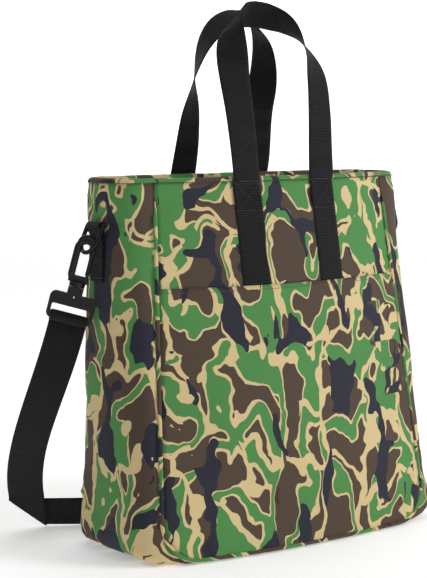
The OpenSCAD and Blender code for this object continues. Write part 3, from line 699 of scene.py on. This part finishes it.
zs = [0.0168, 0.021, 0.027, 0.034, 0.042, 0.06, 0.09, 0.12, 0.15, 0.18, 0.21, 0.24, 0.272, 0.30, 0.32, 0.3395]
wall = [(LINER_IN + 0.0003, z) for z in zs]
floor = [(LINER_IN + d, 0.0166) for d in (0.050, 0.036, 0.022, 0.010, 0.004, 0.001)]
liner = ring_loft("liner_film", floor + wall, LINER)
n = len(ring_line(0, H))
bm_faces = [tuple(p.vertices) for p in liner.data.polygons] + [tuple(range(n))]
co = [v.co[:] for v in liner.data.vertices]
uv0 = np.array([(v[0], v[1]) for v in co])
old = liner
liner = make_object("liner_tub", co, bm_faces, uv0)
liner.data.materials.append(LINER)
bpy.data.objects.remove(old)
add_folds(liner, -1, 0.0006, (0.02, 0.03, 0.03), 4.4)
solidify(liner, 0.0006)
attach(liner, "bag")
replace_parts(liner, "liner")


# ---- piping and seam lines --------------------------------------------------------------------
def seam_points(side, straight=60, corner=14, along=40):
    zc = SEAM_Z + CORNER
    pts = [(-hw(z), z) for z in np.linspace(PIPE_TOP + 0.006, zc, straight)]
    pts += [(-hw(zc) + CORNER - CORNER * math.cos(a), zc - CORNER * math.sin(a))
            for a in np.radians(np.linspace(0, 90, corner)[1:])]
    x0 = hw(zc) - CORNER
    pts += [(x, SEAM_Z) for x in np.linspace(-x0, 0, along)[1:]]
    full = pts + [(-x, z) for x, z in pts[-2::-1]]
    return np.array([(x, float(face_y(side, x, z)) + side * 0.0010, z) for x, z in full])


def tube(name, pts, r, mat, m=10, fade_ends=0.02, body="bag"):
    t, (p,) = resample([np.asarray(pts, float)], 0.0024)
    d = unit(np.gradient(p, axis=0))
    verts, uv = [], []
    for k in range(len(p)):
        u = unit(np.cross(d[k], (0, 1, 0)))
        v = np.cross(d[k], u)
        end = min(1.0, (0.15 + min(t[k], t[-1] - t[k]) / fade_ends)) if fade_ends else 1.0
        rr = r * end * (1 + 0.03 * math.sin(t[k] * 900))
        for q in range(m):
            a = 2 * math.pi * q / m
            verts.append(p[k] + rr * (u * math.cos(a) + v * math.sin(a)))
            uv.append((r * a, t[k]))
    faces = grid_faces(len(p), m, wrap=True)
    faces += [tuple(range(m))[::-1], tuple((len(p) - 1) * m + q for q in range(m))]
    ob = make_object(name, verts, faces, uv)
    ob.data.materials.append(mat)
    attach(ob, body)
    return ob


for side, name, node in ((-1, "front_piping_tube", "front_piping"), (1, "back_piping_tube", "back_piping")):
    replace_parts(tube(name, seam_points(side), 0.0022, CAMO_TRIM), node)


def wall_path(side, x0, x1, z, out, n=60):
    xs = np.linspace(x0, x1, n)
    return np.stack([xs, face_y(side, xs, z) + side * out, np.full(n, z)], 1)


def outward(side, n):
    return np.tile(np.array([0.0, float(side), 0.0]), (n, 1))


RIM_STITCH_Z = 0.3762
x = hw(RIM_STITCH_Z) - 0.001
for side, name in ((-1, "rim_stitch_front"), (1, "rim_stitch_back")):
    p = wall_path(side, -x, x, RIM_STITCH_Z, 0.0012)
    stitches(name, p, outward(side, len(p)), "bag", THREAD)
for z, d, name in ((RIM_STITCH_Z, -0.0010, "rim_stitch_sides"),
                   (0.3755, FACING_IN + 0.0006, "facing_stitch")):
    ring = ring_line(d, z)
    p = np.column_stack([ring, np.full(len(ring), z)])
    p = np.concatenate([p, p[:1]])
    c = np.array([0, 0.02, z])
    if d < 0:
        for s, tag in ((1, "_right"), (-1, "_left")):
            q = p[:30] if s > 0 else p[64:94]
            stitches(name + tag, q, unit((q - c) * (1, 1, 0)), "bag", THREAD)
    else:
        stitches(name, p, unit((c - p) * (0.3, 1, 0)), "bag", THREAD)
x = float(row_half(POCKET_H, 0.003))
xs = np.linspace(-x, x, 70)
z = POCKET_H - 0.0042
mesh = pocket.data
surface = BVHTree.FromPolygons([v.co for v in mesh.vertices], [q.vertices for q in mesh.polygons])
p = []
for u in xs:
    hit = surface.ray_cast(Vector((u, -0.2, z)), Vector((0, 1, 0)))[0]
    p.append((u, hit.y - 0.0001 if hit else float(front_y(u, z) - pocket_lift(u, z)), z))
stitches("pocket_stitch", np.array(p), outward(-1, 70), "bag", THREAD, r=0.00036)


# ---- handles ----------------------------------------------------------------------------------
HX, HWID, RISE, WEB_T, GAP = 0.048, 0.016, 0.165, 0.0016, 0.0003


def handle(side):
    y0 = float(face_y(side, HX - HWID, H)) + side * (GAP + WEB_T / 2)
    front = side < 0
    lean, sway = (0.027, (-0.009, -0.015)) if front else (-0.045, (0.002, 0.0))
    forward = (0, .02, .06, .15, .32, .58, .9, 1) if front else (0, .2, .42, .62, .78, .9, .97, 1)
    across = (-HX, -HX - .001, -HX - .003, -HX - .004, -HX + .002, -HX + .015, -.016, 0)
    keys = np.stack([across, forward, (0, .18, .4, .62, .81, .935, .99, 1)], 1)
    if front:
        turn = [[0, -1, 0], [-.05, -1, 0], [-.12, -1, 0], [-.3, -.95, .05], [-.8, -.55, .2],
                [-.85, .15, .5], [-.45, .62, .62], [0, .8, .6]]
    else:
        turn = [[0, -1, 0], [-.1, -1, 0], [-.35, -.9, .02], [-.8, -.52, .08], [-.95, -.1, .25],
                [-.8, .3, .55], [-.45, .5, .75], [0, .5, .85]]
    s = np.linspace(0, 7, 57)
    c, v = spline(keys, s), unit(spline(turn, s))
    c = np.concatenate([c, c[-2::-1] * (-1, 1, 1)])
    v = np.concatenate([v, v[-2::-1] * (-1, 1, 1)])
    k = np.minimum(1, 2 * c[:, 2])
    pinch = (0 if front else 0.015) * k * k * (3 - 2 * k) * np.clip(c[:, 0] / 0.030, 0, 1)
    middle = c[:, 0] + sway[0] * c[:, 2] + sway[1] * c[:, 2] ** 4 - pinch
    line = np.stack([middle, y0 + lean * c[:, 1], H + 0.0006 + RISE * c[:, 2]], 1)
    v[:, 1] *= -side
    tan = unit(np.gradient(line, axis=0))
    e = unit(np.cross(tan, v))
    left, right, nrm = line - e * HWID, line + e * HWID, v
    zs = np.linspace(0.234, 0.374, 30)
    sgn = 1.0 if side < 0 else -1.0

    def leg(x0, up):
        a = np.stack([np.full(30, x0 - sgn * up * HWID), np.zeros(30), zs], 1)
        b = np.stack([np.full(30, x0 + sgn * up * HWID), np.zeros(30), zs], 1)
        for q in (a, b):
            q[:, 1] = face_y(side, q[:, 0], zs) + side * (GAP + WEB_T / 2 + 0.0004)
        n = np.tile([0.0, float(side), 0.0], (30, 1))
        return (a, b, n) if up > 0 else (a[::-1], b[::-1], n)

    a, b = leg(-HX, 1), leg(HX, -1)
    return [np.concatenate([a[k], q, b[k]]) for k, q in enumerate((left, right, nrm))]


for side, body in ((-1, "front_handle"), (1, "rear_handle")):
    name = body + "_webbing"
    left, right, nrm = handle(side)
    ob = webbing(name, left, right, nrm, WEB_T, None, rib=0.00026, pitch=0.0016, step=0.0004, across=10)
    y = float(left[30][1])
    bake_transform(ob)
    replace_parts(ob, "front_handle_legs" if side < 0 else "rear_handle_legs",
                "front_handle_loop" if side < 0 else "rear_handle_loop")
    for x0, tag in ((-HX, "l"), (HX, "r")):
        x1, x2, z1, z2 = x0 - 0.0135, x0 + 0.0135, 0.3735, 0.3470
        k = 0
        for a, b in (((x1, z1), (x2, z1)), ((x1, z2), (x2, z2)), ((x1, z1), (x1, z2)), ((x2, z1), (x2, z2)),
                     ((x1, z1), (x2, z2)), ((x2, z1), (x1, z2))):
            xs, zs = np.linspace(a[0], b[0], 12), np.linspace(a[1], b[1], 12)
            p = np.stack([xs, face_y(side, xs, zs) + side * (GAP + WEB_T + 0.0005), zs], 1)
            stitches(f"{name}_box_{tag}{k}", p, outward(side, 12), "bag", BLACK_THREAD)
            k += 1
        xs = np.linspace(x0 - 0.0155, x0 + 0.0155, 8)
        p = np.stack([xs, face_y(side, xs, 0.3762) + side * (GAP + WEB_T + 0.0006), np.full(8, 0.3762)], 1)
        stitches(f"{name}_rim_{tag}", p, outward(side, 8), "bag", THREAD)


# ---- ring tabs --------------------------------------------------------------------------------
def bar_place(s):
    z = 0.334 if s < 0 else 0.339
    return s * (float(hw(z - 0.025) + bulge(z - 0.025)) + 0.0047), z


for s, tag in ((-1, "left"), (1, "right")):
    bx, bz = bar_place(s)
    r = 0.0022 + 0.00035 + 0.0008
    prof = [(-0.0001, -0.056), (-0.0002, -0.040), (-0.0006, -0.020), (-0.0008, -0.0095), (0.0020, -0.0058)]
    prof += [(r * math.cos(a), r * math.sin(a)) for a in np.radians(np.linspace(-22, 205, 22))]
    prof += [(-0.0027, -0.0055), (-0.0021, -0.0095), (-0.0021, -0.020), (-0.0017, -0.040), (-0.0012, -0.056)]
    prof = np.array(prof)
    d = unit(np.gradient(prof, axis=0))
    nx, nz = d[:, 1], -d[:, 0]
    c = np.stack([bx + s * prof[:, 0], np.full(len(prof), 0.020), bz + prof[:, 1]], 1)
    n = np.stack([s * nx, np.zeros(len(prof)), nz], 1)
    w = np.array([0, 0.0125, 0])
    ob = webbing(f"{tag}_tab_webbing", c + s * w, c - s * w, n, 0.0014, "bag", rib=0.0002,
                 pitch=0.0016, step=0.0004, across=10)
    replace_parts(ob, f"{tag}_ring_tab")
    for y in (0.0092, 0.0308):
        zz = np.linspace(bz - 0.052, bz - 0.016, 20)
        out = 0.0004 + np.interp(zz - bz, [-0.056, -0.0095], [0.0003, -0.0004])
        p = np.stack([bx + s * out, np.full(20, y), zz], 1)
        stitches(f"{tag}_tab_edge{int(y * 1e4)}", p, np.tile([float(s), 0, 0], (20, 1)), "bag", BLACK_THREAD)
    for z in (bz - 0.052, bz - 0.016):
        yy = np.linspace(0.0092, 0.0308, 10)
        p = np.stack([np.full(10, bx + s * 0.0003), yy, np.full(10, z)], 1)
        stitches(f"{tag}_tab_row{int(z * 1e4)}", p, np.tile([float(s), 0, 0], (10, 1)), "bag", BLACK_THREAD)


# ---- shoulder strap ---------------------------------------------------------------------------
STRAP_W, LEAN = 0.038, math.radians(15)
TURN = math.radians(-34.4)
CAM_SIDE = np.array([math.cos(TURN), math.sin(TURN), 0])
CAM_FACE = np.array([math.sin(TURN), -math.cos(TURN), 0])
AXIS = np.array([CAM_SIDE[0] * math.sin(LEAN), CAM_SIDE[1] * math.sin(LEAN), math.cos(LEAN)])
bx, bz = bar_place(-1)
RING_REACH, RING_PULL = 0.0292, math.radians(25)
RING_LOW = np.array([bx - RING_REACH * math.sin(RING_PULL), 0.020, bz - RING_REACH * math.cos(RING_PULL)])
BAR_DROP = 0.035 + 0.0034 + 0.03305
UPZ = np.array([0.0, 0.0, 1.0])
BAR = CAM_SIDE * math.cos(LEAN) - UPZ * math.sin(LEAN)
BAR_AT = RING_LOW + (0.003 - BAR_DROP) * AXIS
FOLD_LOW = np.array([-0.1828, 0.1437, 0.0008])
UP_DIR = unit(0.55 * CAM_FACE + UPZ)
FOLD_HIGH = FOLD_LOW + STRAP_W * (UP_DIR - CAM_SIDE)
END_Y, END_Z, END_BAR = 0.118, 0.025, 0.08755


def strap_sections():
    w = STRAP_W / 2
    top, low = BAR_AT - 0.0062 * AXIS, FOLD_LOW + 0.044 * UP_DIR - w * CAM_SIDE
    drop = -CAM_SIDE * math.sin(LEAN) - UPZ * math.cos(LEAN)
    pull = np.linalg.norm(top - low) / 2
    L, R, N = [], [], []
    # round the bar of the hook frame, then down the visible face
    face = unit(np.cross(BAR, drop))
    for a in np.radians(np.linspace(150, -4, 14)):
        c = BAR_AT + 0.0052 * (face * math.cos(a) - drop * math.sin(a))
        L.append(c - BAR * w)
        R.append(c + BAR * w)
        N.append(unit(face * math.cos(a) - drop * math.sin(a)))
    for s in np.linspace(0.03, 1, 26):
        q = 1 - s
        e = unit(mix(BAR, CAM_SIDE, min(1, 1.5 * s)))
        c = (q ** 3 * (top + face * 0.004) + 3 * q * q * s * (top + drop * pull * 0.7)
             + 3 * q * s * s * (low + UP_DIR * pull * 0.6 - CAM_SIDE * 0.004) + s ** 3 * low)
        t = mix(drop, unit(low - top), min(1, 2 * s))
        L.append(c - e * w)
        R.append(c + e * w)
        N.append(unit(np.cross(e, t)))
    crease = unit(FOLD_HIGH - FOLD_LOW)
    fn = unit(np.cross(CAM_SIDE, UP_DIR))
    out = unit(np.cross(fn, crease))
    if np.dot(N[-1], -fn) < 0:
        fn = -fn
    for a in np.radians(np.linspace(8, 172, 9)):
        r = 0.00105
        p = -fn * r * (1 - math.cos(a)) + out * r * math.sin(a)
        L.append(FOLD_HIGH + p)
        R.append(FOLD_LOW + p + UPZ * 0.0003)
        N.append(fn)
    lo = np.array([[-.1465, .127, .0008], [-.110, .116, .0008], [-.060, .112, .0008], [0, .112, .0015],
                   [.060, END_Y - .002, .004], [END_BAR - .0062, END_Y, END_Z - w]])
    hi = np.array([[-.150, .112, .0334], [-.110, .108, .038], [-.060, .110, .0387], [0, .112, .0394],
                   [.060, END_Y - .002, .042], [END_BAR - .0062, END_Y, END_Z + w]])
    s = np.linspace(0, 5, 26)
    lo, hi = spline(lo, s), spline(hi, s)
    for a, b in zip(hi, lo):
        L.append(a)
        R.append(b)
        N.append(fn)
    return [np.array(v) for v in (L, R, N)]


L, R, N = strap_sections()
for k in range(1, len(N)):
    t = (L[k] + R[k]) - (L[k - 1] + R[k - 1])
    if k < len(N) - 1:
        t = (L[k + 1] + R[k + 1]) - (L[k - 1] + R[k - 1])
    n = unit(np.cross(R[k] - L[k], t))
    N[k] = n if np.dot(n, N[k - 1]) > 0 else -n
strap = webbing("shoulder_strap_webbing", L, R, N, 0.0014, "bag", rib=0.00022, pitch=0.0017, step=0.0005,
                across=12)
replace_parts(strap, "shoulder_strap")


def strap_end(name, centre, axis, along):
    """Webbing once round the frame bar."""
    side = unit(np.cross(axis, along))
    L2, R2, N2 = [], [], []
    for a in np.radians(np.linspace(-165, 165, 30)):
        n = along * -math.cos(a) + side * math.sin(a)
        c = centre + 0.00515 * n
        L2.append(c - axis * 0.019)
        R2.append(c + axis * 0.019)
        N2.append(n)
    ob = webbing(name, np.array(L2), np.array(R2), np.array(N2), 0.0013, "bag", rib=0.0002, pitch=0.0017,
                 step=0.0005, across=10)
    return ob


left_end = strap_end("strap_end_left", BAR_AT, BAR, -AXIS)
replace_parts(left_end, "strap_loops")
strap_end("strap_end_right", np.array([END_BAR, END_Y, END_Z]), UPZ, np.array([-1.0, 0, 0]))


# ---- thick spines of the snap hooks -----------------------------------------------------------
def hook_spine(name, centre, across, along, body):
    """Smooth moulded back of a hook: up its main leg and over its nose, oval and tapering."""
    face = unit(np.cross(across, along))
    sweep = [(-0.0082, z, 1.0) for z in np.linspace(-0.0335, 0, 16)]
    sweep += [(0.0082 * math.cos(a), 0.0082 * math.sin(a), mix(0.78, 1.0, (math.degrees(a) - 40) / 140))
              for a in np.radians(np.linspace(172, 40, 20))]
    sides, verts, uv = 18, [], []
    p = np.array([centre + across * x + along * z for x, z, _ in sweep])
    t = unit(np.gradient(p, axis=0))
    for k, (*_, r) in enumerate(sweep):
        tip = min(1.0, 0.35 + 0.25 * min(k, len(sweep) - 1 - k))
        wide = unit(np.cross(t[k], face))
        for a in np.linspace(0, 2 * math.pi, sides, endpoint=False):
            verts.append(p[k] + r * tip * (wide * 0.0036 * math.cos(a) + face * 0.0031 * math.sin(a)))
            uv.append((0.003 * a, 0.002 * k))
    faces = grid_faces(len(sweep), sides, wrap=True)
    faces += [tuple(range(sides))[::-1], tuple((len(sweep) - 1) * sides + q for q in range(sides))]
    ob = make_object(name, verts, faces, uv)
    ob.data.materials.append(PLASTIC)
    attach(ob, body)


hook_spine("left_hook_spine", RING_LOW + 0.003 * AXIS, BAR, AXIS, "hook_left")
hook_spine("right_hook_spine", np.array([0.159, END_Y, END_Z]), UPZ, np.array([1.0, 0.0, 0.0]), "hook_right")


# ---- lid --------------------------------------------------------------------------------------
def lid_ring():
    outer = ring_line(FACING_IN + 0.0007, LID_Z, 24, 30)
    x1 = FLAP_HALF + 0.0005
    inner = []
    for x, y in outer:
        dy = y - ZIP_Y
        k = min(x1 / max(abs(x), 1e-9), FLAP_W / max(abs(dy), 1e-9))
        inner.append((x * k, ZIP_Y + dy * k))
    inner = np.array(inner)
    n, cols = len(outer), 9
    top, bot = [], []
    for j in range(cols):
        s = j / (cols - 1)
        p = outer + (inner - outer) * s
        w = math.sin(math.pi * s) ** 0.5
        top.append(np.column_stack([p, np.full(n, LID_Z - 0.0012 + 0.0010 * w)]))
        bot.append(np.column_stack([p, np.full(n, LID_Z - 0.0038 - 0.0011 * w)]))
    verts = np.concatenate(top + bot[::-1])
    uv = verts[:, :2]
    faces = []
    rows = 2 * cols
    for i in range(rows):
        a, b = i * n, ((i + 1) % rows) * n
        for j in range(n):
            k = (j + 1) % n
            faces.append((a + j, a + k, b + k, b + j))
    return make_object("lid_surround", verts, faces, uv)


lid = lid_ring()
lid.data.materials.append(CAMO_BACK)
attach(lid, "bag")
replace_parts(lid, "lid_frame")

for s, name, body, node in ((-1, "front_flap_pad", "front_flap", "front_lid_flap"),
                            (1, "rear_flap_pad", "rear_flap", "rear_lid_flap")):
    nx, ny = 61, 19
    xs = np.linspace(-FLAP_HALF, FLAP_HALF, nx)
    v = np.linspace(0, 1, ny)
    X, V = np.meshgrid(xs, v)
    Y = ZIP_Y + s * (FLAP_W - 0.0004 - V * (FLAP_W - 0.0054))
    puff = (np.sin(np.pi * np.clip(V * 1.02, 0, 1)) ** 0.5) * (1 - np.abs(X / FLAP_HALF) ** 14)
    puff = np.nan_to_num(puff)
    top = np.stack([X, Y, LID_Z - 0.0003 - 0.0006 * (1 - puff)], -1)
    bot = np.stack([X, Y, LID_Z - 0.0011 - 0.0035 * puff], -1)
    verts = np.concatenate([top.reshape(-1, 3), bot.reshape(-1, 3)])
    n = nx * ny
    up = grid_faces(ny, nx, flip=s < 0)
    down = [tuple(q + n for q in f[::-1]) for f in up]
    rim = list(range(nx)) + [i * nx + nx - 1 for i in range(1, ny)]
    rim += [(ny - 1) * nx + j for j in range(nx - 2, -1, -1)] + [i * nx for i in range(ny - 2, 0, -1)]
    sides = []
    for a, b in zip(rim, rim[1:] + rim[:1]):
        f = (a, b, b + n, a + n)
        sides.append(f if s > 0 else f[::-1])
    ob = make_object(name, verts, up + down + sides, verts[:, :2])
    me = ob.data
    if sum(p.normal.z for p in me.polygons[:40]) < 0:
        me.flip_normals()
    ob.data.materials.append(CAMO_BACK if s > 0 else CAMO_SIDE)
    edge = [int(i) for i in rim] + [int(i) + n for i in rim]
    cloth_pass(ob, edge, 0.5, 0.0006, frames=12)
    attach(ob, body)
    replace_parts(ob, node)
    yy = ZIP_Y + s * 0.0135
    xs = np.linspace(-FLAP_HALF + 0.003, FLAP_HALF - 0.003, 40)
    p = np.stack([xs, np.full(40, yy), np.full(40, LID_Z + 0.0001)], 1)
    stitches(f"{node}_stitch", p, np.tile([0, 0, 1.0], (40, 1)), body, THREAD)


def zip_side(name, s, x0, x1, body, node):
    """Woven tape with a row of coil teeth along its inner edge."""
    xs = np.linspace(x0, x1, 60)
    z = LID_Z + 0.0006
    a = np.stack([xs, np.full(60, ZIP_Y + s * 0.0120), np.full(60, z)], 1)
    b = np.stack([xs, np.full(60, ZIP_Y + s * 0.0024), np.full(60, z)], 1)
    n = np.tile([0, 0, 1.0], (60, 1))
    tape = webbing(name + "_tape_woven", a, b, n, 0.0006, body, rib=0.00008, pitch=0.0012, step=0.001,
                   across=6)
    verts, faces = [], []
    pitch = 0.0021
    for k in range(int((x1 - x0) / pitch)):
        cx = x0 + pitch * (k + (0.5 if s < 0 else 1.0) * 0.98)
        if cx > x1 - 0.0008:
            continue
        base = len(verts)
        for i in range(10):
            ang = 2 * math.pi * i / 10
            cy = ZIP_Y + s * (0.00195 - 0.00115 * math.cos(ang))
            cz = LID_Z + 0.0020 + 0.0009 * math.sin(ang)
            for q in range(5):
                b2 = 2 * math.pi * q / 5
                rr = 0.00036
                rad = math.cos(b2) * rr
                verts.append((cx + math.sin(b2) * rr + 0.0004 * math.cos(ang),
                              cy - s * rad * math.cos(ang), cz + rad * math.sin(ang)))
        for i in range(10):
            for q in range(5):
                i2, q2 = (i + 1) % 10, (q + 1) % 5
                faces.append((base + i * 5 + q, base + i2 * 5 + q, base + i2 * 5 + q2, base + i * 5 + q2))
    coil = make_object(name + "_coil_teeth", verts, faces)
    coil.data.materials.append(ZIP)
    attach(coil, body)
    if node:
        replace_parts(tape, node + "_tape")
        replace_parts(coil, node + "_coil")
    return tape


zip_side("front_zip", -1, -FLAP_HALF, FLAP_HALF, "front_flap", "front_zip")
zip_side("rear_zip", 1, -FLAP_HALF, FLAP_HALF, "rear_flap", "rear_zip")
ends = []
for sx, tag in ((-1, "left"), (1, "right")):
    x0 = -FLAP_HALF - 0.034 if sx < 0 else FLAP_HALF + 0.0008
    for s in (-1, 1):
        ends.append(zip_side(f"zip_{tag}_{'front' if s < 0 else 'rear'}", s, x0, x0 + 0.0332, "bag", None))
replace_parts(ends[0], "zip_ends")

# ---- materials of the hardware ----------------------------------------------------------------
for name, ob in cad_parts.items():
    if ob.hide_render:
        continue
    mat = PLASTIC
    if name in ("left_ring", "right_ring", "zip_slider"):
        mat = METAL
    if name == "base_board":
        mat = BOARD
    ob.data.materials.clear()
    ob.data.materials.append(mat)

# ---- floor, light, camera ---------------------------------------------------------------------
bpy.ops.mesh.primitive_plane_add(size=14, location=(0, 0, 0))
ground = bpy.context.object
ground.name = "studio_floor"
g = Nodes("floor_white")
ground.data.materials.append(g.put(Base_Color=(0.93, 0.93, 0.93, 1), Roughness=0.9,
                                   Emission_Color=(1, 1, 1, 1), Emission_Strength=0.34))
bpy.ops.mesh.primitive_plane_add(size=14, location=(3.8, 5.6, 4),
                                 rotation=(math.pi / 2, 0, math.radians(-34.4)))
wall = bpy.context.object
wall.name = "studio_wall"
g = Nodes("wall_white")
wall.data.materials.append(g.put(Base_Color=(0.9, 0.9, 0.9, 1), Roughness=1.0, Emission_Color=(1, 1, 1, 1),
                                 Emission_Strength=0.8))


def area_light(name, place, target, size, power, tint=(1, 1, 1)):
    data = bpy.data.lights.new(name, "AREA")
    data.shape, data.size, data.energy, data.color = "DISK", size, power, tint
    ob = bpy.data.objects.new(name, data)
    ob.location = place
    ob.rotation_euler = (Vector(target) - Vector(place)).to_track_quat("-Z", "Y").to_euler()
    bpy.context.scene.collection.objects.link(ob)


area_light("key", (1.9, -2.2, 1.6), (0, 0, 0.25), 1.3, 49)
area_light("fill", (-1.2, -2.6, 1.4), (0, 0, 0.3), 1.0, 3)
area_light("top", (0, 0.2, 2.6), (0, 0, 0.2), 2.2, 10)
scene = bpy.context.scene
world = bpy.data.worlds.new("studio") if scene.world is None else scene.world
scene.world = world
world.use_nodes = True
world.node_tree.nodes["Background"].inputs[0].default_value = (1, 1, 1, 1)
world.node_tree.nodes["Background"].inputs[1].default_value = 0.33
scene.view_settings.view_transform = "Standard"

az, roll = math.radians(34.38), math.radians(-0.33)
fwd = Vector((0.5615, 0.8206, -0.1061)).normalized()
right = Vector((math.cos(az), -math.sin(az), 0))
up = right.cross(fwd)
R3 = right * math.cos(roll) + up * math.sin(roll)
U3 = up * math.cos(roll) - right * math.sin(roll)
cam = bpy.data.objects.new("photo_camera", bpy.data.cameras.new("photo_camera"))
m = Matrix((R3, U3, -fwd)).transposed().to_4x4()
m.translation = Vector((-1.00045, -1.37462, 0.44127))
cam.matrix_world = m
cam.data.sensor_width, cam.data.lens = 36, 100.47
scene.collection.objects.link(cam)
scene.camera = cam
